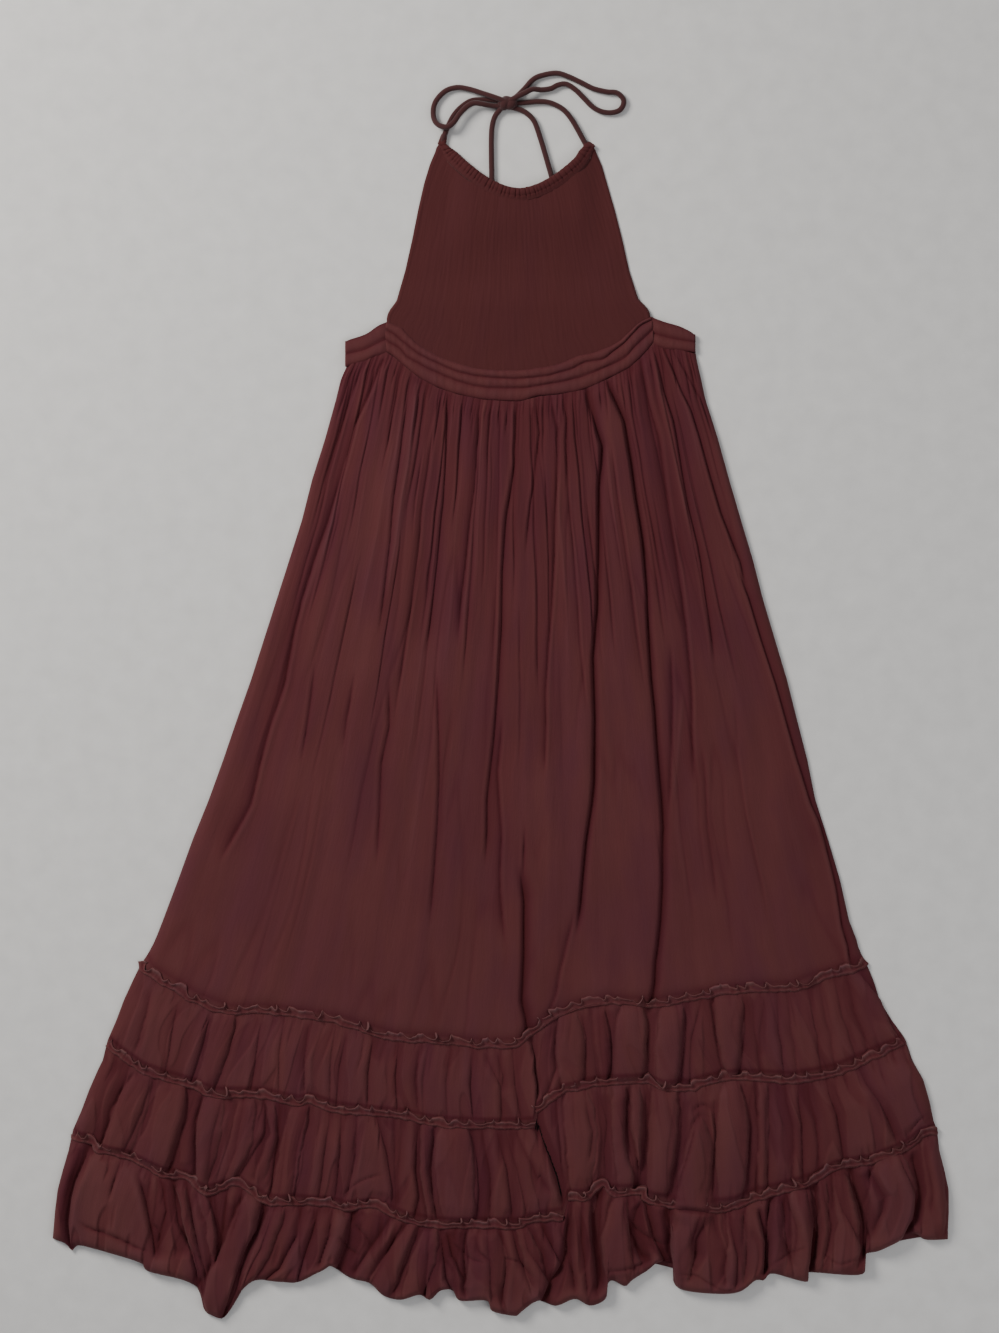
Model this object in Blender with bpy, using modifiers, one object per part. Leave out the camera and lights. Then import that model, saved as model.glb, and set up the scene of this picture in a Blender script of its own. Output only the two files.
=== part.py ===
"""A halter-neck maxi dress with a gathered skirt and three frilled tiers, lying flat and face up.

The frame is in metres with +Z up: the neck is towards +Y, the hem towards -Y, the wearer's left
side towards +X, and the origin is on the surface below the middle of the dress. All sizes below
are in millimetres of the real dress.
"""

import math
import random

import bpy
from mathutils import Vector

MM = 0.001

# Cloth wall, and the gap kept between neighbouring pieces.
WALL = 1.4
GAP = 0.35
FLOOR_TOP = WALL                          # upper face of a back panel that lies on the surface
FRONT_LOW = FLOOR_TOP + GAP + WALL + 0.1  # lowest upper face of a front panel above it
LAP = WALL + GAP                          # how far a tier lies above the panel it is sewn to

# Ties: a rouleau cord of round section.
TIE_RADIUS = 3.2
TIE_LIFT = TIE_RADIUS + 0.1
TIE_STEP = 12.0
TIE_SAMPLES = 600

# Neckline: a bowl of this width and rise, with its casing below it.
NECK_X = 20.0
NECK_LOW = 639.0
NECK_RISE = 55.0
NECK_HALF = 84.0
NECK_POWER = 1.75
NECK_LEFT = -66.0
NECK_RIGHT = 103.0
CASING_DEPTH = 13.0
CASING_HIGH = 5.4
CASING_CREST = (0.86, 1.0)    # share of its height at a gather's crest, and between two
CASING_DIP = (0.6, 0.7)
CASING_PINCH = 0.7            # how much narrower it is between two gathers
CASING_GATHERS = 26
CASING_RING = ((-1, 0.12), (-0.9, 0.6), (-0.4, 1), (0.35, 0.92), (0.88, 0.5), (1, 0.1), (0.6, 0), (-0.6, 0))
CASING_TURN = 0.09        # share of its length in which each end turns level
CASING_MOUTH = 5.0        # half width at its ends
MOUTH_SET = 2.7           # how far a slanting strap stops from the casing's end

# The middle of the neckline lies over the tie ends.
ARCH_HIGH = 7.1
ARCH_LEFT = -32.0
ARCH_RIGHT = 86.0
ARCH_FADE = 26.0
ARCH_LOW = 612.0
ARCH_LOW_FADE = 45.0

# Waistband.
BAND_LEVEL = 5.2          # upper face of the band's edges, over the back band
BAND_PUFF = 2.3           # how far its channels stand up
FOLD_DROP = 1.0           # how far the skirt's corners drop below the folds
END_GAP = 0.8             # between the slanting ends of the front and back bands
FOLD_STEPS = 4
FLAP_STEPS = 3
BEHIND_STEPS = 8
BAND_COLUMNS = 27
BAND_SECTIONS = ((0.0, 0.0), (0.12, 1.0), (0.26, 0.15), (0.43, 1.0), (0.60, 0.15), (0.80, 1.0), (1.0, 0.0))
FLAP_SECTIONS = ((0.0, 0.0), (0.24, 1.0), (0.50, 0.1), (0.76, 1.0), (1.0, 0.0))
FLAP_PUFF = 0.5           # share of the channels' height that is left at the folds
BIB_ROWS = 9
BIB_LIFT_FROM = 540.0     # height at which the bib starts to rise over the back band
BIB_LIFT_LENGTH = 44.0
FOLD_LEFT = -185.0
FOLD_RIGHT = 228.0

# How far the loosely lying front of the skirt and tiers rises from its side edges.
EDGE_RISE = 3.2
EDGE_STEEP = 12.0
MIDDLE_RISE = 2.6
MIDDLE_STEEP = 5.0

# Gathers: crests on the front of the skirt and of each tier.
GATHERS = 40
FRONT_COLUMNS = 2 * GATHERS
BACK_COLUMNS = 24
SKIRT_GATHER = 5.4
SKIRT_CRESTS = (0.55, 1.25)   # uneven crests, as shares of their height
TIER_CRESTS = (0.55, 1.15)
HEADING_CRESTS = (0.5, 1.1)
GATHER_REACH = (0.6, 1.7)
GATHER_START = 0.35       # share of their height at the seam
GATHER_RISE = 30.0        # how steeply they rise from the seam, and fall again over the heading
GATHER_FALL = 12.0
GATHER_FADE = 0.15        # share of the skirt in which they fade
GATHER_REST = 0.2
BAND_LEAVE = 0.08         # share of the skirt in which it comes down from the waistband
TROUGH_SHARE = 0.12
COLUMN_SLACK = 0.24
COLUMN_SEED = 3
SKIRT_SEED = 4
REACH_SEED = 5
TIER_SEED = 20
HEADING_SEED = 30
CASING_SEED = 11
TIER_GATHER = 10.0
BACK_HEM_SHORT = 6.0      # how far the back hem stops above the front one
EDGE_PUFF = 0.3           # share of a tier's puff that is left at its side edges
HEADING_DEPTH = 9.0
HEADING_WAVE = 5.0
HEADING_SWAY = 0.25       # how far its edge sways up and down the dress, as a share of its wave

# Side outline of the bib: height, left edge, right edge.
BIB_SIDES = (
    (690, -78, 106),
    (666, -85, 116),
    (645, -92, 124),
    (614, -99, 133),
    (579, -106, 142),
    (543, -114, 150),
    (508, -124, 161),
    (484, -134, 168),
)

# Front waistband from left to right: top edge x, y and lower edge x, y.
WAISTBAND = (
    (-132, 490, -139, 444),
    (-121, 471, -114, 433),
    (-98, 455, -88, 413),
    (-66, 441, -58, 401),
    (-22, 428, -18, 391),
    (20, 424, 22, 388),
    (66, 430, 62, 396),
    (105, 442, 97, 404),
    (138, 458, 132, 419),
    (166, 486, 181, 459),
)

# Back waistband where it folds: x, upper edge y, lower edge y.
BAND_BACK_LEFT = (FOLD_LEFT, 457, 429)
BAND_BACK_RIGHT = (FOLD_RIGHT, 469, 447)

# Side outline of the skirt and tiers: height, left edge, right edge.
SIDES = (
    (447, -181, 228),
    (414, -190, 235),
    (343, -209, 255),
    (248, -236, 282),
    (154, -266, 308),
    (60, -296, 336),
    (-35, -329, 360),
    (-129, -365, 384),
    (-224, -400, 409),
    (-275, -426, 432),
    (-370, -468, 474),
    (-475, -506, 513),
    (-530, -521, 526),
    (-600, -528, 528),
)

# The stitch line of each tier and the hem, each as x, height from left to right.
SEAMS = {
    "tier_1": (
        (-426, -272), (-386, -305), (-328, -332), (-198, -343), (-115, -364), (-39, -370), (15, -375),
        (33, -360), (75, -333), (130, -323), (200, -325), (271, -310), (350, -303), (388, -290), (432, -274),
    ),
    "tier_2": (
        (-470, -377), (-405, -414), (-321, -431), (-184, -448), (-93, -466), (13, -468), (38, -464),
        (50, -446), (72, -430), (120, -418), (201, -424), (271, -413), (349, -412), (424, -394), (474, -370),
    ),
    "tier_3": (
        (-507, -478), (-444, -509), (-365, -534), (-282, -556), (-162, -561), (-76, -579), (-2, -587),
        (56, -577), (78, -556), (150, -548), (248, -569), (310, -543), (376, -532), (442, -508), (514, -474),
    ),
    "hem": (
        (-528, -596), (-480, -606), (-415, -630), (-355, -646), (-250, -640), (-190, -638), (-125, -656),
        (-60, -652), (0, -668), (60, -662), (120, -652), (172, -634), (255, -655), (330, -640), (405, -636),
        (440, -612), (528, -596),
    ),
}

# Bubbles that hang past the hem line: x, reach, half width.
HEM_BUBBLES = (
    (-500, 8, 24),
    (-452, 4, 26),
    (-400, 6, 30),
    (-335, 47.4, 22),
    (-272, 6, 34),
    (-170, 8, 36),
    (-108, 14, 30),
    (-10, 17, 34),
    (62, 12, 30),
    (112, 18, 22),
    (148, 6, 20),
    (240, 8, 40),
    (310, 8, 22),
    (372, 10, 34),
    (415, 8, 18),
    (470, 2, 24),
)

# Long creases of the skirt: place across at top and foot, start and end down it, depth, half width.
SKIRT_CREASES = (
    (0.065, 0.054, 0.06, 0.84, 4.5, 9),
    (0.205, 0.205, 0.02, 0.42, 1.6, 7),
    (0.300, 0.322, 0.02, 0.42, 1.8, 7),
    (0.395, 0.380, 0.05, 0.36, 1.6, 7),
    (0.492, 0.464, 0.02, 0.78, 3.4, 9),
    (0.109, 0.129, 0.44, 0.62, 1.8, 8),
    (0.197, 0.206, 0.44, 0.60, 1.5, 8),
    (0.256, 0.300, 0.45, 0.82, 2.0, 9),
    (0.344, 0.386, 0.43, 0.82, 2.0, 9),
    (0.594, 0.551, 0.03, 0.66, 2.4, 8),
    (0.700, 0.610, 0.06, 0.86, 4.2, 9),
    (0.765, 0.764, 0.03, 0.38, 2.2, 8),
    (0.840, 0.805, 0.15, 0.76, 2.8, 9),
    (0.888, 0.880, 0.12, 0.42, 3.6, 8),
    (0.950, 0.968, 0.10, 0.36, 2.6, 8),
    (0.745, 0.697, 0.60, 1.10, 6.0, 11),
    (0.962, 0.982, 0.40, 1.10, 3.2, 9),
    (0.520, 0.528, 0.74, 1.10, 5.0, 11),
    (0.605, 0.575, 0.78, 1.00, 2.2, 9),
)

# Deep folds that run on through the tiers: place across at each stitch line and hem, depth, half width.
TIER_FOLDS = (
    (0.528, 0.536, 0.572, 0.585, 6.0, 14),
    (0.695, 0.680, 0.662, 0.650, 5.0, 12),
    (0.205, 0.190, 0.200, 0.175, 3.5, 12),
    (0.880, 0.860, 0.855, 0.850, 3.5, 12),
    (0.395, 0.400, 0.385, 0.370, 3.0, 12),
)

# How high each cross section below a tier's stitch line stands: place down it, share of the gathers' height.
TIER_SECTIONS = ((0.18, 0.80), (0.50, 1.0), (0.84, 0.65), (1.0, 0.0))
HEM_SECTIONS = ((0.18, 0.75), (0.45, 1.0), (0.75, 1.0), (1.0, 0.35))
SKIRT_SECTIONS = (0.0, 0.022, 0.06, 0.12, 0.22, 0.36, 0.52, 0.68, 0.83, 0.94, 1.0)
HEADING_AT = 0.94         # where the first tier's heading reaches on the skirt

# Routes of the ties, from the knot outwards: x, y, how high the cord is lifted off the surface there.
KNOT = Vector((7.0, 739.5, 7.0))
KNOT_RADII = Vector((11.5, 9.5, 6.9))
KNOT_CLEAR = 0.5
STRAP_LEFT = ((4, 742.6, 0), (-8, 743.2, 0), (-22, 743.5, 0), (-36, 742.5, 0), (-48, 735, 0),
              (-57, 725, 0), (-65, 710, 0))
STRAP_RIGHT = ((12, 739.5, 0), (30, 740.5, 0), (44, 741.5, 0), (57, 740, 0), (71, 733, 0),
               (81, 722, 0), (91, 707, 0), (98, 698, 0))
LOOP_LEFT = ((3, 742, 7.1), (-8, 745, 6.9), (-22, 750, 4.6), (-39, 756, 0.8), (-54, 758, 0),
             (-68, 753, 0), (-79, 740, 0), (-81, 725, 0.4), (-76, 714, 3.9), (-66, 711, 7.2),
             (-58.5, 716.5, 6.9), (-52, 726, 6.4), (-43, 734, 6.4), (-33.5, 738.6, 6.0),
             (-22, 737.6, 4.4), (-10, 736.2, 0.8), (4, 736.2, 0))
LOOP_RIGHT = ((12, 744, 0), (19, 749, 0), (27, 757, 0), (36, 767, 0), (46, 772, 0), (64, 775, 0),
              (78, 771, 0), (93, 764, 0), (107, 757, 0), (123, 753, 0), (136, 751.5, 0),
              (143.5, 742.5, 0), (140, 732.5, 0), (130, 728.5, 0), (118, 729.5, 0), (107, 735, 0),
              (97, 745, 0), (87, 755, 0), (76, 762, 0), (66, 761, 0), (58, 757, 0.2),
              (47, 755, 1.6), (36, 755, 5.2), (26, 750, 7.1), (14, 744, 7.1))
TAIL_LEFT = ((5, 737, 0), (0, 728, 0), (-8, 718, 0), (-11, 705, 0), (-12, 676, 0),
             (-12, 648, 0), (-12, 622, 0))
TAIL_RIGHT = ((10, 736, 0), (21, 732, 0), (30, 727, 0), (38, 718, 0), (44, 702, 0), (51, 679, 0),
              (59, 651, 0), (66, 627, 0))

CLOTH_COLOUR = (0.070, 0.019, 0.020)
BIB_COLOUR = (0.056, 0.015, 0.017)
TIE_COLOUR = (0.052, 0.014, 0.015)
CLOTH_ROUGH = 0.9
SHARP_ANGLE = 22.0


def clear_scene():
    for thing in list(bpy.data.objects):
        bpy.data.objects.remove(thing, do_unlink=True)


def cloth_material(name, colour):
    material = bpy.data.materials.new(name)
    material.use_nodes = True
    shader = material.node_tree.nodes["Principled BSDF"]
    shader.inputs["Base Color"].default_value = (*colour, 1.0)
    shader.inputs["Roughness"].default_value = CLOTH_ROUGH
    shader.inputs["Metallic"].default_value = 0.0
    return material


def mix(a, b, share):
    return a + (b - a) * share


def smooth(share):
    share = min(1.0, max(0.0, share))
    return share * share * (3.0 - 2.0 * share)


def plateau(value, low, high, fade):
    """1 between low and high, falling to 0 over the fade on both sides."""
    return smooth((value - low) / fade + 1.0) * smooth((high - value) / fade + 1.0)


def spline(rows, share):
    """A point on the smooth curve through these rows, 0 at the first and 1 at the last."""
    at = min(max(share, 0.0), 1.0) * (len(rows) - 1)
    index = min(int(at), len(rows) - 2)
    t = at - index
    before = rows[max(index - 1, 0)]
    start = rows[index]
    end = rows[index + 1]
    after = rows[min(index + 2, len(rows) - 1)]
    point = []
    for a, b, c, d in zip(before, start, end, after):
        point.append(b + 0.5 * t * (c - a + t * (2 * a - 5 * b + 4 * c - d + t * (3 * (b - c) + d - a))))
    return point


def height_at(rows, x):
    """The second column of a table where its first column has this value, with eased steps between rows."""
    if x <= rows[0][0]:
        return rows[0][1]
    for (x0, y0), (x1, y1) in zip(rows, rows[1:]):
        if x <= x1:
            share = (x - x0) / (x1 - x0)
            return mix(y0, y1, mix(share, smooth(share), 0.35))
    return rows[-1][1]


def side_at(rows, y, column):
    """The left or right edge of an outline table at a height."""
    if y >= rows[0][0]:
        return rows[0][column]
    for upper, lower in zip(rows, rows[1:]):
        if y >= lower[0]:
            return mix(upper[column], lower[column], (upper[0] - y) / (upper[0] - lower[0]))
    return rows[-1][column]


def neck_point(x, out):
    """A point of the neckline, moved out from the neck opening, and the neckline's direction there."""
    reach = abs(x - NECK_X) / NECK_HALF
    slope = math.copysign(NECK_RISE * NECK_POWER * reach ** (NECK_POWER - 1) / NECK_HALF, x - NECK_X)
    along = Vector((1.0, slope)).normalized()
    away = Vector((along.y, -along.x))
    edge = Vector((x, NECK_LOW + NECK_RISE * reach ** NECK_POWER))
    return edge + away * out, along


def neck_arch(x, y):
    """How far the neckline lies above the surface, over the ends of the ties."""
    across = plateau(x, ARCH_LEFT, ARCH_RIGHT, ARCH_FADE)
    down = smooth((y - ARCH_LOW) / ARCH_LOW_FADE + 1.0)
    return ARCH_HIGH * across * down


def band_edge(share, lower):
    """A point of the front waistband's top or lower edge."""
    row = spline(WAISTBAND, share)
    return Vector(row[2:]) if lower else Vector(row[:2])


def waist_line(share):
    """The skirt's top edge, which follows the side bands and the front band."""
    left = (WAISTBAND[0][2] - FOLD_LEFT) / (FOLD_RIGHT - FOLD_LEFT)
    right = (WAISTBAND[-1][2] - FOLD_LEFT) / (FOLD_RIGHT - FOLD_LEFT)
    if share < left:
        x = mix(FOLD_LEFT, WAISTBAND[0][2], share / left)
        return Vector((x, mix(BAND_BACK_LEFT[2] - FOLD_DROP, WAISTBAND[0][3], share / left)))
    if share > right:
        past = (share - right) / (1.0 - right)
        x = mix(WAISTBAND[-1][2], FOLD_RIGHT, past)
        return Vector((x, mix(WAISTBAND[-1][3], BAND_BACK_RIGHT[2] - FOLD_DROP, past)))
    return band_edge((share - left) / (right - left), True)


def hem_line(x):
    """The hem's height: its line, and the bubbles that hang past it."""
    y = height_at(SEAMS["hem"], x)
    for centre, reach, half in HEM_BUBBLES:
        y -= reach * math.exp(-((x - centre) / half) ** 4)
    return y


def cross_line(name, share):
    """A point of a stitch line or of the hem."""
    rows = SEAMS[name]
    x = mix(rows[0][0], rows[-1][0], share)
    return Vector((x, hem_line(x) if name == "hem" else height_at(rows, x)))


def between(upper, lower, down):
    """A point between two cross lines, with the side outline's curve taken in."""
    def at(share):
        top = upper(share)
        foot = lower(share)
        left_y = mix(upper(0.0).y, lower(0.0).y, down)
        right_y = mix(upper(1.0).y, lower(1.0).y, down)
        left = side_at(SIDES, left_y, 1) - mix(upper(0.0).x, lower(0.0).x, down)
        right = side_at(SIDES, right_y, 2) - mix(upper(1.0).x, lower(1.0).x, down)
        bulge = smooth(down * 6.0) * smooth((1.0 - down) * 6.0)
        shift = mix(left, right, share) * bulge
        return Vector((mix(top.x, foot.x, down) + shift, mix(top.y, foot.y, down)))
    return at


def trough(distance, depth, half):
    return depth * math.exp(-(distance / half) ** 2)


def body_level(share):
    """Height of the loosely lying front over its edges, which lie low at both side folds."""
    edge = smooth(share * EDGE_STEEP) * smooth((1.0 - share) * EDGE_STEEP)
    middle = smooth(share * MIDDLE_STEEP) * smooth((1.0 - share) * MIDDLE_STEEP)
    return EDGE_RISE * edge + MIDDLE_RISE * middle


def skirt_relief(share, down, width):
    """Height of the front of the skirt over its lowest level, from its long creases."""
    cut = 0.0
    for top, foot, start, end, depth, half in SKIRT_CREASES:
        length = smooth((down - start) / 0.08 + 0.5) * smooth((end - down) / 0.12 + 0.5)
        away = (share - mix(top, foot, down)) * width
        cut = max(cut, trough(away, depth, half) * length)
    return max(0.0, body_level(share) - cut)


def tier_relief(share, tier, down, width):
    """Height of the front of a tier over its lowest level, from the deep folds."""
    cut = 0.0
    for fold in TIER_FOLDS:
        place = mix(fold[tier], fold[tier + 1], down)
        cut = max(cut, trough((share - place) * width, fold[4], fold[5]))
    return max(0.0, body_level(share) - cut)


def front_columns():
    """Places across the front, a trough and a crest in turn, with uneven widths."""
    rng = random.Random(COLUMN_SEED)
    columns = []
    for index in range(FRONT_COLUMNS + 1):
        slack = 0.0 if index in (0, FRONT_COLUMNS) else rng.uniform(-COLUMN_SLACK, COLUMN_SLACK)
        columns.append((index + slack) / FRONT_COLUMNS)
    return columns


def crests(seed, low, high):
    """Height of each column: an uneven crest, and a low trough between crests."""
    rng = random.Random(seed)
    heights = []
    for index in range(FRONT_COLUMNS + 1):
        crest = rng.uniform(low, high)
        heights.append(crest if index % 2 else crest * TROUGH_SHARE)
    return heights


def add_object(name, points, faces, material, collection):
    mesh = bpy.data.meshes.new(name)
    mesh.from_pydata([point * MM for point in points], [], faces)
    mesh.update()
    mesh.shade_smooth()
    mesh.set_sharp_from_angle(angle=math.radians(SHARP_ANGLE))
    mesh.materials.append(material)
    thing = bpy.data.objects.new(name, mesh)
    collection.objects.link(thing)
    return thing


def cloth_wall(name, grid, material, collection):
    """A wall of cloth below a grid of points: rows from the neck down, each from left to right."""
    columns = len(grid[0])
    faces = []
    for row in range(len(grid) - 1):
        for column in range(columns - 1):
            first = row * columns + column
            faces.append((first, first + columns, first + columns + 1, first + 1))
    points = [point for row in grid for point in row]
    thing = add_object(name, points, faces, material, collection)
    wall = thing.modifiers.new("Cloth", "SOLIDIFY")
    wall.thickness = WALL * MM
    wall.offset = -1.0
    return thing


def ring_body(name, rings, material, collection):
    """A closed body through rings of points, with a cap at each end."""
    sides = len(rings[0])
    points = [point for ring in rings for point in ring]
    faces = []
    for row in range(len(rings) - 1):
        for side in range(sides):
            beside = (side + 1) % sides
            first = row * sides
            faces.append((first + side, first + beside, first + sides + beside, first + sides + side))
    faces.append(tuple(reversed(range(sides))))
    faces.append(tuple(range(len(points) - sides, len(points))))
    return add_object(name, points, faces, material, collection)


def casing_section(share):
    """Middle of the casing, the direction across it and its half width, turned level at both ends."""
    centre, along = neck_point(mix(NECK_LEFT, NECK_RIGHT, share), CASING_DEPTH / 2)
    level = 1.0 - smooth(min(share, 1.0 - share) / CASING_TURN)
    sideways = Vector((-1.0 if share < 0.5 else 1.0, 0.0))
    away = Vector((along.y, -along.x)).lerp(sideways, level).normalized()
    return centre, away, mix(CASING_DEPTH / 2, CASING_MOUTH, level)


def make_casing(material, collection):
    """The gathered casing round the neckline, a flattened tunnel full of the drawstring."""
    sections = 2 * CASING_GATHERS + 1
    rings = []
    rng = random.Random(CASING_SEED)
    for index in range(sections):
        centre, away, half = casing_section(index / (sections - 1))
        crest = rng.uniform(*CASING_CREST) if index % 2 else rng.uniform(*CASING_DIP)
        half -= 0.0 if index % 2 else CASING_PINCH
        low = neck_arch(centre.x, centre.y)
        ring = []
        for out, up in CASING_RING:
            place = centre + away * (out * half)
            ring.append(Vector((place.x, place.y, low + up * CASING_HIGH * crest)))
        rings.append(ring)
    return ring_body("neck_casing", rings, material, collection)


def make_bib(material, collection):
    """The front bodice: a plain panel between the casing and the waistband."""
    columns = CASING_GATHERS
    rows = BIB_ROWS

    def top(share):
        centre, away, half = casing_section(share)
        return centre + away * (half + GAP)

    def foot(share):
        return band_edge(share, False) + Vector((0.0, GAP))

    grid = []
    for row in range(rows + 1):
        down = row / rows
        left_y = mix(top(0).y, foot(0).y, down)
        right_y = mix(top(1).y, foot(1).y, down)
        left = mix(top(0).x, side_at(BIB_SIDES, left_y, 1), smooth(down * 8))
        left = mix(left, foot(0).x, smooth(down * 8 - 7))
        right = mix(top(1).x, side_at(BIB_SIDES, right_y, 2), smooth(down * 8))
        right = mix(right, foot(1).x, smooth(down * 8 - 7))
        line = []
        for column in range(columns + 1):
            share = column / columns
            high = (top(share).x - top(0).x) / (top(1).x - top(0).x)
            low = (foot(share).x - foot(0).x) / (foot(1).x - foot(0).x)
            x = mix(left, right, mix(high, low, down))
            y = mix(top(share).y, foot(share).y, down)
            rise = (BAND_LEVEL - WALL) * smooth((BIB_LIFT_FROM - y) / BIB_LIFT_LENGTH)
            line.append(Vector((x, y, FLOOR_TOP + rise + neck_arch(x, y))))
        grid.append(line)
    return cloth_wall("bib_front", grid, material, collection)


def make_band_front(material, collection):
    """The curved front waistband with its three raised channels."""
    grid = []
    for down, puff in BAND_SECTIONS:
        line = []
        for column in range(BAND_COLUMNS + 1):
            share = column / BAND_COLUMNS
            place = mix(band_edge(share, False), band_edge(share, True), down)
            line.append(Vector((place.x, place.y, BAND_LEVEL + puff * BAND_PUFF)))
        grid.append(line)
    return cloth_wall("waistband_front", grid, material, collection)


def band_fold(fold, down, inward):
    """Points round one side fold of the back band, from its upper layer to the surface."""
    radius = BAND_LEVEL / 2
    x, upper, lower = fold
    points = []
    for step in range(FOLD_STEPS + 1):
        turn = math.pi * step / FOLD_STEPS
        place = x + inward * radius * (1.0 - math.sin(turn))
        points.append(Vector((place, mix(upper, lower, down), radius + radius * math.cos(turn))))
    return points


def band_flap(end, edge, puff):
    """Points of the visible flap between its inner end and the fold's upper edge."""
    points = []
    for step in range(FLAP_STEPS):
        share = step / FLAP_STEPS
        rise = puff * BAND_PUFF * mix(1.0, FLAP_PUFF, share)
        points.append(end.lerp(edge, share) + Vector((0.0, 0.0, rise)))
    return points


def make_band_back(material, collection):
    """The back waistband: it crosses behind, and folds round both sides to meet the front band."""
    grid = []
    for down, puff in FLAP_SECTIONS:
        left_end = mix(band_edge(0.0, False), band_edge(0.0, True), down)
        right_end = mix(band_edge(1.0, False), band_edge(1.0, True), down)
        left_fold = band_fold(BAND_BACK_LEFT, down, 1.0)
        right_fold = band_fold(BAND_BACK_RIGHT, down, -1.0)
        left_flap = band_flap(Vector((left_end.x - END_GAP, left_end.y, BAND_LEVEL)), left_fold[0], puff)
        right_flap = band_flap(Vector((right_end.x + END_GAP, right_end.y, BAND_LEVEL)), right_fold[0], puff)
        behind = []
        for step in range(1, BEHIND_STEPS):
            behind.append(right_fold[-1].lerp(left_fold[-1], step / BEHIND_STEPS))
        left_side = list(reversed(left_flap + left_fold))
        grid.append(right_flap + right_fold + behind + left_side)
    return cloth_wall("waistband_back", grid, material, collection)


def make_skirt_front(material, collection):
    """The front of the skirt, gathered to the waistband, its lower edge under the first tier."""
    columns = front_columns()
    heights = crests(SKIRT_SEED, *SKIRT_CRESTS)
    rng = random.Random(REACH_SEED)
    reach = [rng.uniform(*GATHER_REACH) for _ in columns]
    stitch = lambda share: cross_line("tier_1", share)
    waist = lambda share: waist_line(share) - Vector((0.0, GAP))
    grid = []
    for down in SKIRT_SECTIONS:
        place = between(waist, heading_line(stitch), min(1.0, down / HEADING_AT))
        if down == 1.0:
            place = stitch
        width = place(1.0).x - place(0.0).x
        line = []
        for column, share in enumerate(columns):
            spot = place(share)
            fade = math.exp(-down / (GATHER_FADE * reach[column])) + GATHER_REST * (1 - down)
            fade *= smooth(down * GATHER_RISE + GATHER_START) * smooth((HEADING_AT - down) * GATHER_FALL)
            loose = FRONT_LOW + skirt_relief(share, down, width)
            base = mix(BAND_LEVEL - 0.4, loose, smooth(down / BAND_LEAVE))
            line.append(Vector((spot.x, spot.y, base + SKIRT_GATHER * heights[column] * fade)))
        grid.append(line)
    cloth_wall("skirt_front", grid, material, collection)
    return grid


def heading_line(stitch):
    """The line that a tier's heading reaches, above its stitch line."""
    return lambda share: stitch(share) + Vector((0.0, HEADING_DEPTH))


def make_tier_front(name, below, tier, panel, material, collection):
    """A tier's front: its heading and stitch line lie on the panel above, and its gathers puff out below."""
    columns = front_columns()
    heights = crests(TIER_SEED + tier, *TIER_CRESTS)
    wave = crests(HEADING_SEED + tier, *HEADING_CRESTS)
    last = below == "hem"
    stitch = lambda share: cross_line(name, share)
    foot = lambda share: cross_line(below, share)
    stop = foot if last else heading_line(foot)
    grid = []
    rim = []
    for column, point in enumerate(panel[-2]):
        rise = HEADING_WAVE * wave[column]
        sway = HEADING_SWAY * (rise - HEADING_WAVE / 2)
        rim.append(point + Vector((0.0, sway, LAP + rise)))
    grid.append(rim)
    grid.append([point + Vector((0.0, 0.0, LAP)) for point in panel[-1]])
    sections = HEM_SECTIONS if last else TIER_SECTIONS
    for down, rise in sections:
        place = between(stitch, stop, down)
        width = place(1.0).x - place(0.0).x
        line = []
        for column, share in enumerate(columns):
            spot = place(share)
            base = FRONT_LOW + tier_relief(share, tier, down, width)
            edge = smooth(share * EDGE_STEEP) * smooth((1.0 - share) * EDGE_STEEP)
            puff = TIER_GATHER * heights[column] * rise * mix(EDGE_PUFF, 1.0, edge)
            line.append(Vector((spot.x, spot.y, base + puff)))
        grid.append(line)
    if not last:
        line = []
        for column, share in enumerate(columns):
            spot = foot(share)
            line.append(Vector((spot.x, spot.y, grid[-1][column].z)))
        grid.append(line)
    cloth_wall(name + "_front", grid, material, collection)
    return grid


def make_back(name, upper, lower, rows, material, collection):
    """A back panel, flat on the surface."""
    grid = []
    for row in range(rows + 1):
        place = between(upper, lower, row / rows)
        line = []
        for column in range(BACK_COLUMNS + 1):
            spot = place(column / BACK_COLUMNS)
            line.append(Vector((spot.x, spot.y, FLOOR_TOP)))
        grid.append(line)
    return cloth_wall(name, grid, material, collection)


def make_backs(material, collection):
    def waist(share):
        x = mix(FOLD_LEFT, FOLD_RIGHT, share)
        return Vector((x, mix(BAND_BACK_LEFT[2], BAND_BACK_RIGHT[2], share) - GAP))

    def line(name, drop):
        return lambda share: cross_line(name, share) - Vector((0.0, drop))

    def hem(share):
        x = cross_line("hem", share).x
        return Vector((x, height_at(SEAMS["hem"], x) + BACK_HEM_SHORT))

    make_back("skirt_back", waist, line("tier_1", 0.0), 6, material, collection)
    make_back("tier_1_back", line("tier_1", GAP), line("tier_2", 0.0), 2, material, collection)
    make_back("tier_2_back", line("tier_2", GAP), line("tier_3", 0.0), 2, material, collection)
    make_back("tier_3_back", line("tier_3", GAP), hem, 2, material, collection)


def in_knot(point, margin):
    away = point - KNOT
    return sum((part / (radius + margin)) ** 2 for part, radius in zip(away, KNOT_RADII)) < 1.0


def tube_touches_knot(point, along):
    beside = along.cross(Vector((0, 0, 1))).normalized()
    over = along.cross(beside).normalized()
    for turn in range(12):
        angle = math.tau * turn / 12
        spoke = (beside * math.cos(angle) + over * math.sin(angle)) * (TIE_RADIUS + GAP)
        if in_knot(point + spoke, KNOT_CLEAR) or in_knot(point + spoke * 0.5, KNOT_CLEAR):
            return True
    return in_knot(point, KNOT_CLEAR)


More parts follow.
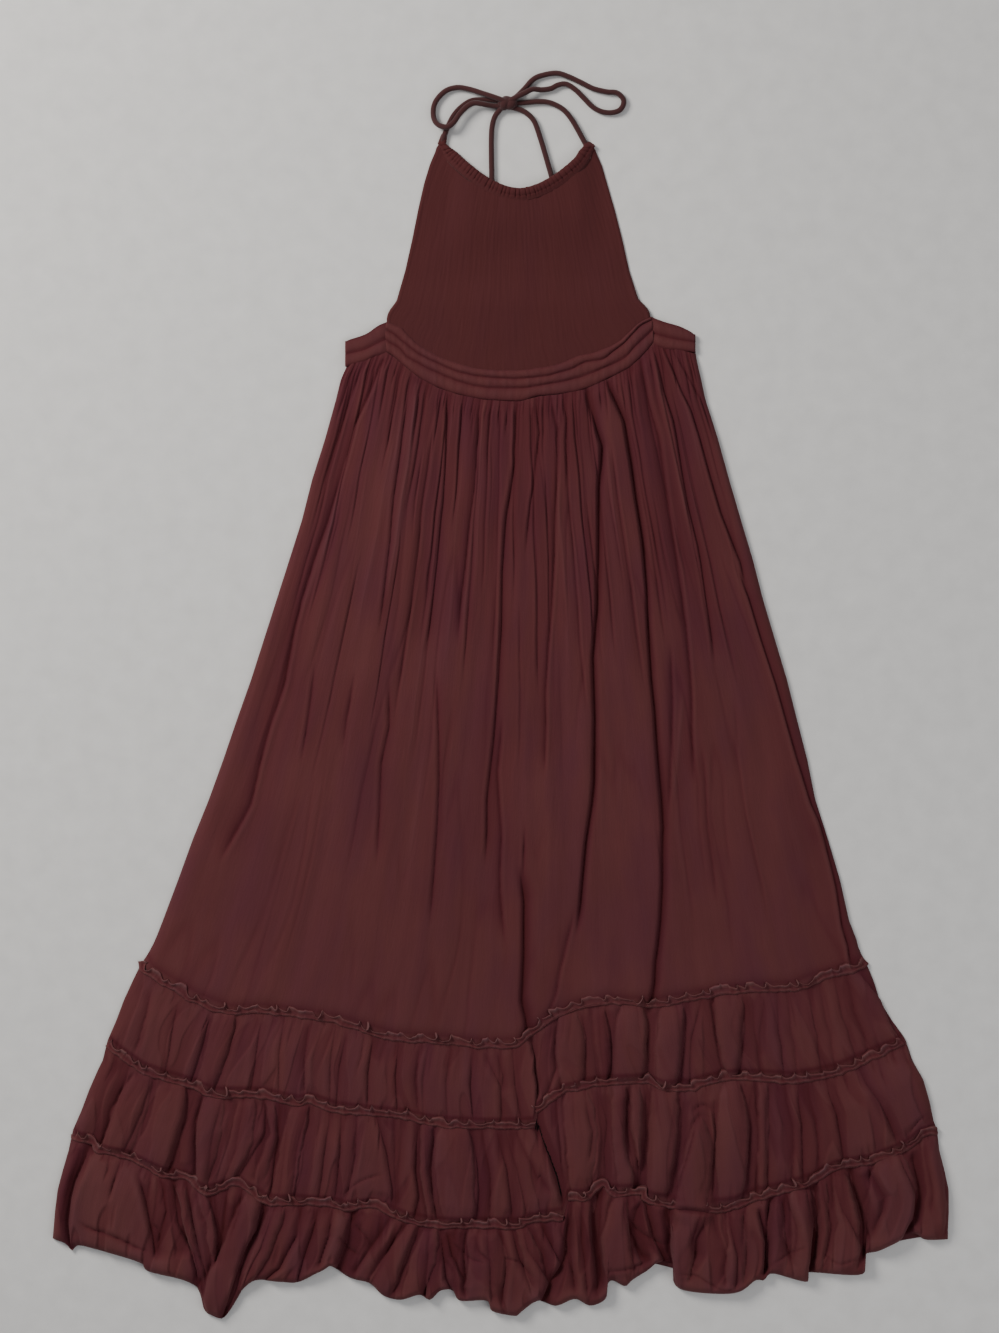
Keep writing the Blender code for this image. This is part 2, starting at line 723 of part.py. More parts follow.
def tie_points(route, both_ends):
    """Points along a tie at even steps on the smooth curve of its route, cut clear of the knot."""
    lying = Vector((0.0, 0.0, TIE_LIFT))
    fine = [lying + Vector(spline(route, step / TIE_SAMPLES)) for step in range(TIE_SAMPLES + 1)]
    first = TIE_SAMPLES // 2
    while not tube_touches_knot(fine[first - 1], fine[first] - fine[first - 1]):
        first -= 1
    last = TIE_SAMPLES // 2 if both_ends else TIE_SAMPLES
    while both_ends and not tube_touches_knot(fine[last + 1], fine[last + 1] - fine[last]):
        last += 1
    fine = fine[first:last + 1]
    length = sum((b - a).length for a, b in zip(fine, fine[1:]))
    count = max(3, round(length / TIE_STEP))
    points = [fine[0]]
    walked = 0.0
    for a, b in zip(fine, fine[1:]):
        walked += (b - a).length
        if walked >= len(points) * length / count - 1e-6:
            points.append(b)
    return points


def make_tie(name, route, both_ends, material, collection):
    points = tie_points(route, both_ends)
    curve = bpy.data.curves.new(name, "CURVE")
    curve.dimensions = "3D"
    curve.bevel_depth = TIE_RADIUS * MM
    curve.bevel_resolution = 2
    curve.use_fill_caps = True
    line = curve.splines.new("POLY")
    line.points.add(len(points) - 1)
    for spot, point in zip(line.points, points):
        spot.co = (*(point * MM), 1.0)
    curve.materials.append(material)
    thing = bpy.data.objects.new(name, curve)
    collection.objects.link(thing)
    return thing


def casing_mouth(share):
    """Where a strap leaves the end of the casing."""
    centre = casing_section(share)[0]
    return (centre.x, centre.y + MOUTH_SET, 0.0)


def make_ties(material, collection):
    left = STRAP_LEFT + (casing_mouth(0.0),)
    right = STRAP_RIGHT + (casing_mouth(1.0),)
    make_tie("neck_strap_left", left, False, material, collection)
    make_tie("neck_strap_right", right, False, material, collection)
    make_tie("bow_loop_left", LOOP_LEFT, True, material, collection)
    make_tie("bow_loop_right", LOOP_RIGHT, True, material, collection)
    make_tie("tie_end_left", TAIL_LEFT, False, material, collection)
    make_tie("tie_end_right", TAIL_RIGHT, False, material, collection)


def make_knot(material, collection):
    """The bow's knot, a rounded lump that rests on the surface."""
    bpy.ops.mesh.primitive_uv_sphere_add(segments=16, ring_count=9, location=KNOT * MM)
    knot = bpy.context.object
    knot.name = "bow_knot"
    for vertex in knot.data.vertices:
        vertex.co = Vector(part * radius * MM for part, radius in zip(vertex.co, KNOT_RADII))
    knot.data.shade_smooth()
    knot.data.materials.append(material)
    for other in list(knot.users_collection):
        other.objects.unlink(knot)
    collection.objects.link(knot)
    return knot


def main():
    clear_scene()
    dress = bpy.data.collections.new("maxi_dress")
    bpy.context.scene.collection.children.link(dress)
    cloth = cloth_material("skirt_cloth", CLOTH_COLOUR)
    bib = cloth_material("bib_cloth", BIB_COLOUR)
    tie = cloth_material("tie_cloth", TIE_COLOUR)
    make_backs(cloth, dress)
    make_band_back(cloth, dress)
    make_band_front(cloth, dress)
    make_bib(bib, dress)
    make_casing(bib, dress)
    panel = make_skirt_front(cloth, dress)
    for tier, (name, below) in enumerate((("tier_1", "tier_2"), ("tier_2", "tier_3"), ("tier_3", "hem"))):
        panel = make_tier_front(name, below, tier, panel, cloth, dress)
    make_ties(tie, dress)
    make_knot(tie, dress)


main()
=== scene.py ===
"""A maroon halter-neck maxi dress of crinkled rayon gauze, laid flat and face up.

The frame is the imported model's: metres, +Z up, the neck towards +Y and the hem towards -Y. Tables
and shapes below are in millimetres and become metres where a mesh or curve is made.
"""

import math

import bpy
import numpy as np
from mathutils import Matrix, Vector


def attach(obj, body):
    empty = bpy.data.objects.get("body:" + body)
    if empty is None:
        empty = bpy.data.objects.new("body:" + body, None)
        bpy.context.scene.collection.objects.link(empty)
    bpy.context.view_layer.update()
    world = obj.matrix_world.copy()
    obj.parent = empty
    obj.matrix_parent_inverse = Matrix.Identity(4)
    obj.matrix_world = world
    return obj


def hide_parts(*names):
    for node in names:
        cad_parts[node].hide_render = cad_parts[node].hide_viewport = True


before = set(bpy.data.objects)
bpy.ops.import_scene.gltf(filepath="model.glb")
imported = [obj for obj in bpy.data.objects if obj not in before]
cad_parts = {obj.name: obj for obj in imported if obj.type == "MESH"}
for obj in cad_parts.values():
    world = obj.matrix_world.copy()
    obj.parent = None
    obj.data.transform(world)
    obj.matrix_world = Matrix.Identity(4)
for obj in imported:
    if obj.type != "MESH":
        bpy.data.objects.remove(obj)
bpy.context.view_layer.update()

MM = 0.001


def places(*flat, size=2):
    """Points from a flat row of numbers."""
    return np.reshape(flat, (-1, size)).astype(float)


# Outlines and stitch lines of the front, each as x, y of its places.
WAIST_SEAM = places(
    -183, 430, -173, 434, -158, 438, -143, 444, -136, 446, -127, 440, -113, 428, -98, 416, -76, 404,
    -52, 396, -22, 390, 8, 388, 21, 388, 44, 394, 66, 396, 97, 402, 126, 415, 149, 427, 162, 438, 172, 449,
    179, 458, 191, 455, 212, 448, 228, 444,
)
BAND_LOW = WAIST_SEAM[4:21]
BIB_SEAM = places(
    -136, 482, -119, 475, -113, 469, -98, 455, -76, 442, -52, 433, -30, 427, -7, 425, 22, 425, 44, 428,
    66, 432, 88, 441, 112, 447, 135, 457, 149, 469, 162, 481, 175, 487,
)
GROOVE_UPPER = places(
    -138, 473, -127, 467, -116, 458, -98, 444, -76, 433, -52, 423, -22, 417, 8, 415, 21, 415, 51, 418,
    81, 426, 97, 434, 119, 438, 132, 448, 144, 457, 153, 467, 164, 478, 177, 484,
)
GROOVE_LOWER = places(
    -137, 460, -130, 456, -120, 450, -112, 441, -97, 432, -83, 425, -52, 412, -22, 405, 21, 404, 51, 408,
    86, 415, 111, 424, 142, 438, 157, 453, 178, 473,
)
SEAM_1 = places(
    -428, -272, -422, -285, -389, -305, -365, -319, -328, -333, -286, -332, -242, -337, -198, -344,
    -163, -355, -130, -364, -76, -368, -21, -373, 15, -372, 33, -360, 60, -340, 91, -327, 130, -321,
    181, -325, 224, -317, 263, -310, 306, -307, 349, -305, 380, -292, 415, -284, 432, -274,
)
SEAM_2 = places(
    -467, -371, -451, -384, -426, -402, -401, -411, -365, -421, -340, -432, -286, -432, -242, -442,
    -228, -438, -198, -449, -155, -453, -119, -456, -76, -466, -25, -468, 37, -468, 40, -450, 72, -427,
    91, -423, 114, -418, 169, -415, 192, -424, 224, -423, 240, -417, 271, -411, 306, -412, 345, -415,
    395, -405, 435, -388, 474, -368,
)
SEAM_3 = places(
    -507, -476, -505, -483, -484, -486, -477, -496, -444, -503, -422, -514, -401, -525, -372, -529,
    -350, -547, -328, -540, -310, -536, -278, -558, -245, -558, -202, -560, -184, -565, -155, -561,
    -137, -568, -112, -579, -76, -585, -26, -585, 18, -586, 33, -579, 72, -576, 78, -553, 99, -553,
    118, -536, 130, -548, 162, -546, 169, -555, 209, -563, 248, -567, 275, -563, 299, -553, 326, -546,
    365, -534, 395, -516, 435, -510, 478, -493, 497, -477, 514, -474,
)
HEM = places(
    -530, -599, -514, -605, -507, -613, -500, -607, -480, -611, -427, -627, -418, -637, -375, -648,
    -356, -660, -349, -683, -340, -690, -330, -693, -322, -684, -307, -660, -290, -648, -261, -650,
    -240, -650, -214, -637, -202, -631, -179, -645, -156, -652, -140, -666, -120, -671, -97, -665,
    -85, -671, -73, -660, -59, -660, -50, -672, -18, -672, -12, -684, 15, -690, 21, -685, 39, -672,
    63, -678, 86, -670, 104, -678, 122, -670, 124, -654, 130, -648, 145, -655, 153, -648, 170, -637,
    181, -627, 201, -628, 203, -648, 217, -660, 257, -664, 281, -661, 299, -648, 309, -648, 319, -640,
    358, -650, 361, -639, 424, -641, 425, -619, 445, -613, 467, -601, 472, -595, 487, -593, 499, -600,
    526, -600,
)
SKIRT_LEFT = places(
    -183, 430, -190, 414, -196, 390, -209, 343, -224, 296, -236, 248, -251, 201, -266, 154, -281, 107,
    -296, 60, -313, 12, -329, -35, -346, -82, -365, -129, -382, -176, -400, -224, -409, -247, -415, -259,
    -427, -278,
)
SKIRT_RIGHT = places(
    228, 444, 235, 414, 240, 390, 255, 343, 268, 296, 282, 248, 296, 201, 308, 154, 322, 107, 336, 60,
    348, 12, 360, -35, 369, -82, 384, -129, 398, -176, 409, -224, 418, -247, 421, -259, 432, -278,
)
TIER_LEFT = places(
    -427, -278, -435, -294, -446, -318, -455, -342, -465, -365, -471, -389, -477, -401, -487, -424,
    -496, -448, -506, -471, -511, -495, -518, -519, -524, -542, -527, -566, -529, -589, -530, -600,
)
TIER_RIGHT = places(
    431, -278, 437, -294, 445, -318, 459, -342, 476, -365, 484, -389, 497, -412, 504, -436, 509, -460,
    513, -471, 516, -495, 522, -519, 527, -542, 527, -566, 526, -589, 526, -600,
)

# Fold lines of the front: strength, lean, half width, then x, y of places from the neck down. With
# a half width of 0 each place has its own: x, y, half width. A positive lean has the cloth on the
# left of the line lie over it, and a negative strength is a sharp ridge.
SKIRT_FOLDS = (
    (0.95, -0.5, 10.6, -137, 440, -153, 402, -173, 360, -190, 296, -203, 251, -218, 208, -235, 154,
     -244, 117, -255, 57, -273, 4, -284, -38, -295, -87, -314, -122, -335, -160),
    (0.6, -0.3, 7.1, -160, 435, -179, 390, -197, 331, -212, 272),
    (0.5, -0.3, 5.9, -173, 430, -185, 396, -199, 355),
    (-0.7, 0, 7.1, -99, 409, -110, 319, -122, 244, -131, 188, -137, 140),
    (0.5, 0.3, 8.3, -106, 418, -118, 343, -130, 248, -140, 154, -146, 107),
    (0.8, 0.4, 8.3, -64, 398, -66, 336, -70, 267, -76, 208, -86, 120, -92, 83),
    (0.8, -0.4, 8.3, -25, 391, -27, 349, -33, 277, -41, 208, -47, 159, -52, 95),
    (0.9, 0.4, 9.4, 18, 384, 14, 316, 5, 257, 0, 188, -1, 120, -4, 67, -12, -28, -18, -81, -20, -165),
    (0.8, -0.3, 8.3, 1, 25, -5, -49, 0, -122, -2, -186, 4, -259),
    (0.6, 0.2, 8.3, -219, 88, -230, 4, -238, -47),
    (0.6, -0.2, 8.3, -171, 77, -182, 15, -188, -35),
    (0.6, 0.2, 9.4, -133, 67, -133, 4, -142, -38, -148, -165),
    (0.6, 0.2, 9.4, -77, 77, -74, -60, -80, -165, -85, -235),
    (0.7, 0.3, 7.1, 40, 391, 44, 349, 33, 267, 27, 201),
    (0.8, -0.4, 8.3, 58, 394, 66, 355, 63, 238, 57, 120, 52, 47, 50, -60),
    (0.8, 0.4, 5.9, 72, 396, 76, 366, 76, 277),
    (1, 0.6, 9.4, 99, 402, 117, 336, 113, 286, 113, 218, 111, 140, 106, 88, 107, -60, 93, -186, 87, -247),
    (1, 0.6, 0, 123, 412, 8.3, 143, 365, 8.3, 155, 286, 8.3, 164, 228, 8.3, 170, 154, 8.3, 175, 60, 8.3,
     181, -11, 9.4, 185, -58, 10.6, 189, -115, 11.8, 188, -186, 11.8, 183, -253, 11.8, 177, -325, 11.8),
    (0.7, -0.5, 0, 199, 107, 7.1, 201, 12, 8.3, 199, -47, 8.3, 194, -113, 9.4),
    (0.85, -0.4, 8.3, 163, 438, 186, 343, 197, 261, 208, 189, 217, 126, 223, 60, 224, 1, 227, -70),
    (0.35, -0.3, 9.4, 235, -6, 241, -82, 248, -153, 254, -212),
    (-0.7, 0, 7.1, 214, 60, 211, 12, 206, -47, 201, -94),
    (0.95, 0.5, 8.3, 177, 454, 201, 366, 218, 267, 230, 218, 242, 140, 251, 71),
    (0.9, 0.5, 8.3, 189, 454, 222, 378, 241, 312, 257, 257, 280, 199, 290, 154),
    (0.6, 0.3, 5.9, 201, 450, 234, 390, 253, 331),
    (0.9, 0.9, 10.6, 275, 195, 290, 154, 303, 110, 327, 34, 347, -36, 373, -108, 393, -189, 406, -253,
     415, -284),
    (1, 0.8, 14.2, 20, -153, 25, -200, 22, -318, 32, -365),
    (0.6, -0.3, 9.4, 87, -200, 64, -310, 54, -339),
    (0.7, 0.3, 7.1, 26, -101, 25, -186),
)
TIER_1_FOLDS = (
    (1, 0.9, 0, 32, -360, 5.9, 37, -384, 5.9, 40, -418, 5.9, 40, -441, 5.9),
    (0.85, 0.2, 0, 113, -330, 8.3, 116, -365, 10.6, 119, -395, 11.8, 120, -419, 10.6),
    (1, 0.6, 0, 172, -323, 9.4, 172, -353, 7.1, 171, -389, 8.3, 171, -417, 9.4),
    (0.7, -0.3, 9.4, 127, -325, 130, -372, 130, -417),
    (0.6, -0.3, 8.3, -411, -301, -418, -335, -426, -363, -434, -386),
    (0.6, 0.3, 8.3, -381, -318, -391, -371, -398, -410),
    (0.95, 0.6, 11.8, -343, -332, -354, -372, -362, -398, -368, -419),
    (0.7, -0.3, 9.4, -310, -335, -323, -379, -342, -427),
    (0.7, 0.3, 8.3, -284, -335, -289, -377, -297, -434),
    (0.5, 0.3, 7.1, -258, -336, -263, -434),
    (0.8, -0.4, 8.3, -227, -342, -232, -434),
    (0.5, 0.3, 7.1, -197, -346, -203, -445),
    (0.6, 0.3, 7.1, -183, -351, -196, -448),
    (0.8, 0.5, 9.4, -153, -359, -159, -448),
    (0.8, 0.5, 8.3, -123, -366, -123, -453),
    (0.9, -0.5, 8.3, -97, -369, -97, -457),
    (0.6, 0.3, 7.1, -87, -369, -92, -460),
    (0.5, 0.2, 7.1, -61, -371, -64, -464),
    (0.9, 0.6, 10.6, -35, -373, -34, -464),
    (0.7, 0.4, 8.3, -24, -375, -2, -419, 0, -464),
    (0.9, 0.5, 9.4, -8, -375, 1, -407, 1, -429),
    (0.8, 0.4, 9.4, 11, -373, 15, -416, 24, -464),
    (0.8, -0.5, 10.6, 65, -342, 65, -398, 50, -441),
    (0.9, 0.5, 10.6, 91, -329, 99, -362, 97, -398, 93, -422),
    (0.6, 0.3, 7.1, 104, -326, 109, -385, 112, -419),
    (0.7, -0.3, 7.1, 119, -325, 127, -372, 125, -417),
    (0.9, 0.5, 10.6, 216, -320, 215, -365, 208, -424),
    (0.7, 0.3, 7.1, 235, -316, 224, -358, 221, -424),
    (0.9, -0.5, 9.4, 250, -313, 254, -364, 262, -415),
    (0.9, 0.5, 9.4, 286, -311, 282, -372, 274, -412),
    (0.6, -0.3, 7.1, 295, -310, 302, -372, 306, -412),
    (0.5, 0.3, 7.1, 310, -309, 307, -412),
    (0.7, 0.3, 8.3, 324, -307, 329, -372, 332, -415),
    (0.6, -0.3, 8.3, 337, -306, 346, -372, 349, -415),
    (0.7, 0.4, 9.4, 360, -301, 371, -358, 376, -410),
    (0.6, -0.3, 8.3, 374, -296, 388, -358, 394, -405),
    (0.7, 0.4, 9.4, 391, -290, 407, -353, 419, -394),
    (0.7, -0.3, 8.3, 407, -286, 427, -358, 434, -389),
    (0.9, 0.9, 9.4, 418, -280, 446, -318, 461, -353, 473, -372),
)
TIER_2_FOLDS = (
    (1.15, 0.9, 0, 34, -450, 4.7, 41, -469, 7.1, 52, -495, 11.8, 64, -526, 11.8, 73, -559, 8.3),
    (0.9, -0.5, 0, 64, -434, 9.4, 67, -468, 5.9, 70, -507, 4.7, 76, -554, 7.1),
    (0.95, 0.3, 0, 114, -424, 15.3, 123, -457, 10.6, 120, -495, 9.4, 122, -521, 11.8, 118, -545, 15.3),
    (0.5, 0.4, 7.1, 96, -431, 106, -471, 101, -513),
    (1, 0.5, 0, 170, -419, 9.4, 169, -460, 8.3, 166, -495, 9.4, 163, -525, 13, 160, -548, 13),
    (0.6, -0.4, 7.1, 145, -424, 148, -471, 151, -507),
    (0.9, 0.3, 0, 216, -427, 8.3, 212, -454, 7.1, 209, -483, 7.1, 202, -519, 7.1, 198, -556, 7.1),
    (0.95, 0.3, 0, 250, -427, 7.1, 251, -471, 4.7, 248, -513, 5.9, 249, -560, 10.6),
    (0.9, 0.4, 0, 296, -416, 7.1, 291, -448, 5.9, 290, -495, 5.9, 288, -552, 7.1),
    (0.95, -0.7, 11.8, -438, -391, -455, -444, -474, -495),
    (0.8, 0.5, 10.6, -414, -405, -424, -448, -448, -502),
    (0.9, 0.6, 10.6, -373, -418, -375, -456, -388, -494, -394, -526),
    (0.95, -0.6, 10.6, -352, -427, -360, -462, -360, -537),
    (0.6, 0.3, 8.3, -330, -432, -340, -474, -349, -542),
    (0.7, -0.4, 9.4, -304, -432, -313, -494, -330, -540),
    (0.7, 0.4, 9.4, -281, -434, -280, -474, -296, -502, -316, -537),
    (0.95, 0.6, 10.6, -263, -437, -266, -488, -275, -554),
    (0.6, -0.3, 7.1, -253, -440, -254, -483, -262, -554),
    (0.8, -0.4, 9.4, -229, -440, -241, -494, -247, -556),
    (0.6, 0.3, 8.3, -203, -448, -209, -494, -217, -558),
    (0.6, 0.3, 7.1, -190, -450, -197, -559),
    (0.7, -0.4, 8.3, -171, -451, -173, -508, -185, -561),
    (0.9, 0.5, 9.4, -149, -454, -137, -495, -130, -541, -130, -566),
    (0.6, 0.3, 7.1, -127, -456, -127, -508, -125, -568),
    (0.6, -0.3, 7.1, -117, -457, -123, -528, -120, -573),
    (0.95, 0.6, 9.4, -100, -461, -103, -515, -99, -549, -105, -580),
    (0.8, -0.5, 9.4, -78, -466, -83, -515, -81, -554, -73, -582),
    (0.8, 0.5, 9.4, -37, -468, -31, -502, -28, -541, -31, -585),
    (0.9, -0.5, 9.4, -24, -468, -13, -528, -13, -585),
    (0.8, 0.5, 9.4, -8, -468, 5, -515, 13, -585),
    (0.5, 0.3, 7.1, 2, -468, 17, -515, 32, -579),
    (0.6, -0.5, 0, 15, -468, 5.9, 28, -497, 7.1, 42, -526, 7.1, 58, -549, 5.9),
    (0.5, -0.3, 7.1, 299, -412, 300, -553),
    (0.7, 0.4, 8.3, 315, -412, 310, -470, 313, -549),
    (0.7, -0.4, 8.3, 333, -414, 343, -470, 343, -540),
    (0.95, 0.6, 9.4, 349, -415, 352, -470, 355, -537),
    (0.7, -0.3, 8.3, 360, -412, 371, -470, 376, -528),
    (0.8, 0.5, 9.4, 381, -409, 396, -470, 404, -515),
    (0.7, 0.5, 11.8, 419, -396, 446, -442, 468, -490),
    (0.7, -0.5, 10.6, 505, -448, 484, -469, 472, -488),
)
TIER_3_FOLDS = (
    (0.95, 0.5, 0, 113, -542, 11.8, 107, -572, 7.1, 112, -613, 7.1, 118, -660, 8.3),
    (1, 0.5, 0, 163, -552, 8.3, 153, -584, 10.6, 156, -606, 15.3, 172, -627, 11.8),
    (0.9, -0.5, 0, 191, -561, 9.4, 196, -589, 10.6, 198, -622, 8.3),
    (0.95, 0.6, 0, 301, -559, 7.1, 307, -595, 7.1, 309, -641, 8.3),
    (0.9, -0.5, 0, 335, -542, 7.1, 347, -584, 9.4, 342, -627, 10.6),
    (0.95, 0.6, 0, 366, -535, 9.4, 371, -578, 8.3, 361, -627, 9.4),
    (0.8, 0.5, 0, 387, -521, 9.4, 401, -566, 10.6, 422, -611, 9.4),
    (0.95, -0.5, 0, 432, -514, 9.4, 451, -549, 10.6, 432, -601, 11.8),
    (0.8, 0.5, 0, 466, -497, 7.1, 484, -542, 9.4, 486, -587, 8.3),
    (0.9, 0.4, 0, -66, -587, 7.1, -59, -620, 9.4, -38, -655, 8.3),
    (0.85, -0.5, 0, -33, -587, 7.1, -26, -613, 8.3, -7, -637, 7.1),
    (0.9, 0.5, 0, 24, -585, 7.1, 31, -613, 9.4, 54, -653, 10.6),
    (0.9, 0.4, 0, -341, -542, 5.9, -337, -572, 5.9, -330, -601, 9.4, -340, -637, 7.1),
    (0.85, -0.4, 0, -306, -539, 4.7, -309, -566, 7.1, -319, -601, 5.9),
    (0.95, -0.8, 11.8, -484, -486, -502, -532, -510, -580, -507, -611),
    (0.9, 0.5, 10.6, -430, -521, -420, -554, -412, -595, -408, -627),
    (0.7, 0.3, 8.3, -404, -523, -396, -566, -404, -601, -407, -625),
    (0.95, 0.5, 9.4, -389, -526, -382, -580, -362, -618, -354, -660),
    (0.8, -0.4, 8.3, -372, -529, -360, -595, -350, -654),
    (0.7, 0.4, 7.1, -347, -546, -336, -595, -333, -608),
    (0.8, -0.6, 9.4, -323, -540, -328, -589, -360, -660),
    (1, 0.8, 11.8, -283, -554, -290, -589, -313, -639, -330, -691),
    (0.8, 0.4, 9.4, -267, -558, -284, -609, -308, -663),
    (0.8, -0.4, 9.4, -235, -559, -241, -595, -261, -633, -283, -651),
    (0.7, 0.4, 8.3, -215, -560, -225, -595, -243, -651),
    (0.7, -0.4, 8.3, -199, -561, -203, -595, -217, -637),
    (1, 0.7, 13, -177, -565, -182, -601, -195, -634),
    (0.8, -0.5, 9.4, -130, -573, -148, -601, -177, -644),
    (0.7, 0.4, 8.3, -116, -579, -135, -613, -156, -653),
    (0.9, 0.6, 9.4, -100, -582, -119, -632, -130, -667),
    (0.9, -0.5, 9.4, -85, -584, -87, -632, -90, -667),
    (0.8, 0.5, 8.3, -73, -586, -67, -645, -58, -665),
    (0.9, -0.5, 9.4, -41, -586, -44, -619, -41, -670),
    (0.8, 0.4, 8.3, -18, -586, -15, -619, -14, -672),
    (0.8, -0.4, 8.3, -2, -586, 5, -622, 0, -681),
    (0.8, 0.5, 9.4, 11, -586, 21, -625, 38, -660),
    (0.9, 0.5, 10.6, 44, -579, 57, -606, 71, -634),
    (1, 0.9, 14.2, 77, -568, 73, -619, 57, -647, 45, -674),
    (0.9, -0.5, 9.4, 83, -554, 80, -613, 88, -667),
    (0.7, 0.4, 7.1, 94, -553, 93, -601, 101, -672),
    (0.95, 0.5, 9.4, 107, -545, 106, -601, 113, -670),
    (0.9, -0.6, 9.4, 119, -539, 114, -606, 120, -660),
    (0.9, 0.5, 9.4, 146, -547, 151, -608, 156, -644),
    (1, 0.8, 11.8, 169, -555, 177, -596, 191, -625),
    (0.95, -0.6, 10.6, 199, -561, 197, -606, 203, -653),
    (0.7, 0.3, 8.3, 234, -566, 224, -599, 227, -627),
    (0.9, 0.5, 10.6, 266, -565, 276, -618, 274, -660),
    (0.6, -0.3, 7.1, 287, -559, 283, -613),
    (1, 0.6, 9.4, 316, -548, 313, -595, 307, -646),
    (0.6, -0.3, 7.1, 335, -543, 330, -595, 346, -634),
    (0.95, 0.5, 9.4, 358, -537, 366, -595, 361, -644),
    (0.6, 0.3, 7.1, 375, -528, 387, -582, 378, -627),
    (0.6, -0.3, 7.1, 392, -519, 389, -572),
    (1, 0.7, 10.6, 409, -515, 422, -568, 425, -627),
    (0.95, 0.6, 10.6, 483, -491, 490, -540, 483, -576, 472, -599),
    (0.7, -0.4, 8.3, 496, -481, 507, -540, 505, -571),
)

# Creases in any direction: strength, half width, then x, y of places.
TIER_2_CREASES = (
    (0.7, 5.9, 203, -562, 209, -530, 222, -489, 228, -462, 237, -451, 248, -462),
    (0.6, 5.9, 222, -450, 237, -441, 250, -450),
    (0.5, 5.9, -190, -549, -165, -530, -138, -521),
)
TIER_3_CREASES = (
    (1, 8.3, -498, -573, -486, -585, -457, -595, -432, -607, -412, -615),
    (0.7, 5.9, -413, -580, -404, -592, -407, -608),
    (0.5, 4.7, 205, -640, 228, -641, 245, -651, 263, -659, 283, -653),
    (0.5, 4.7, 230, -580, 223, -601, 227, -622),
    (0.6, 4.7, 314, -589, 312, -620, 307, -644),
    (0.5, 4.7, 319, -627, 340, -615, 359, -606),
    (0.9, 10.6, -194, -592, -184, -608, -165, -620),
    (0.7, 7.1, -177, -580, -160, -596, -149, -613),
    (0.6, 5.9, 120, -637, 151, -632, 181, -620),
    (0.7, 5.9, 145, -572, 163, -592, 194, -608),
    (0.5, 4.7, 68, -585, 80, -627, 92, -658),
    (0.6, 5.9, -61, -601, -38, -620, -19, -627),
    (0.6, 4.7, -2, -620, 21, -627, 38, -648),
    (0.5, 4.7, 375, -613, 396, -627, 420, -620),
)

# Rounded puffs between two gathers: rise, painted shade, x, y down the left edge, x, y down the right edge.
TIER_1_PUFFS = (
    (6, 0.86, (65, -339, 64, -375, 71, -424), (90, -332, 98, -375, 96, -424)),
    (5, 0.66, (105, -330, 109, -371, 116, -412), (123, -330, 130, -371, 126, -417)),
    (7, 0.9, (138, -325, 132, -375, 131, -422), (169, -325, 168, -375, 163, -422)),
    (7, 0.88, (185, -327, 181, -375, 181, -424), (215, -325, 210, -372, 206, -424)),
    (6, 0.92, (247, -317, 254, -358, 267, -417), (286, -313, 284, -364, 277, -415)),
    (4.5, 0.86, (-340, -330, -349, -372, -363, -424), (-312, -332, -321, -377, -341, -429)),
)
TIER_2_PUFFS = (
    (6, 0.84, (-435, -405, -458, -445, -473, -495), (-411, -412, -418, -448, -441, -507)),
    (6.5, 0.88, (-406, -415, -414, -453, -438, -504), (-371, -422, -373, -453, -394, -521)),
    (6, 0.88, (-353, -431, -359, -467, -361, -547), (-326, -436, -330, -480, -345, -530)),
    (4.5, 0.82, (-312, -436, -320, -480, -337, -530), (-289, -438, -294, -486, -316, -530)),
    (4.5, 0.8, (-281, -438, -274, -474, -293, -523), (-268, -438, -264, -476, -281, -530)),
    (6, 0.84, (-249, -441, -262, -489, -274, -554), (-225, -443, -234, -491, -245, -554)),
    (6, 0.84, (-97, -462, -97, -519, -87, -580), (-80, -467, -86, -516, -76, -580)),
    (6, 0.86, (-76, -467, -78, -519, -68, -580), (-38, -469, -34, -507, -33, -580)),
    (6.5, 0.86, (72, -431, 76, -483, 81, -549), (104, -424, 113, -474, 104, -542)),
    (7.5, 0.9, (129, -419, 129, -468, 136, -542), (148, -419, 145, -483, 156, -542)),
    (6.5, 0.86, (151, -419, 152, -471, 159, -507), (164, -419, 163, -468, 162, -519)),
    (7.5, 0.92, (175, -422, 172, -468, 169, -549), (208, -424, 206, -481, 195, -549)),
    (8.5, 0.84, (229, -456, 218, -481, 208, -520, 204, -552, 202, -585),
     (238, -457, 247, -483, 248, -507, 243, -548, 231, -585)),
    (7.5, 0.94, (258, -417, 251, -468, 250, -507, 257, -561), (282, -415, 289, -455, 290, -494, 282, -559)),
    (4.5, 0.84, (300, -415, 302, -471, 300, -549), (314, -415, 314, -471, 312, -549)),
)
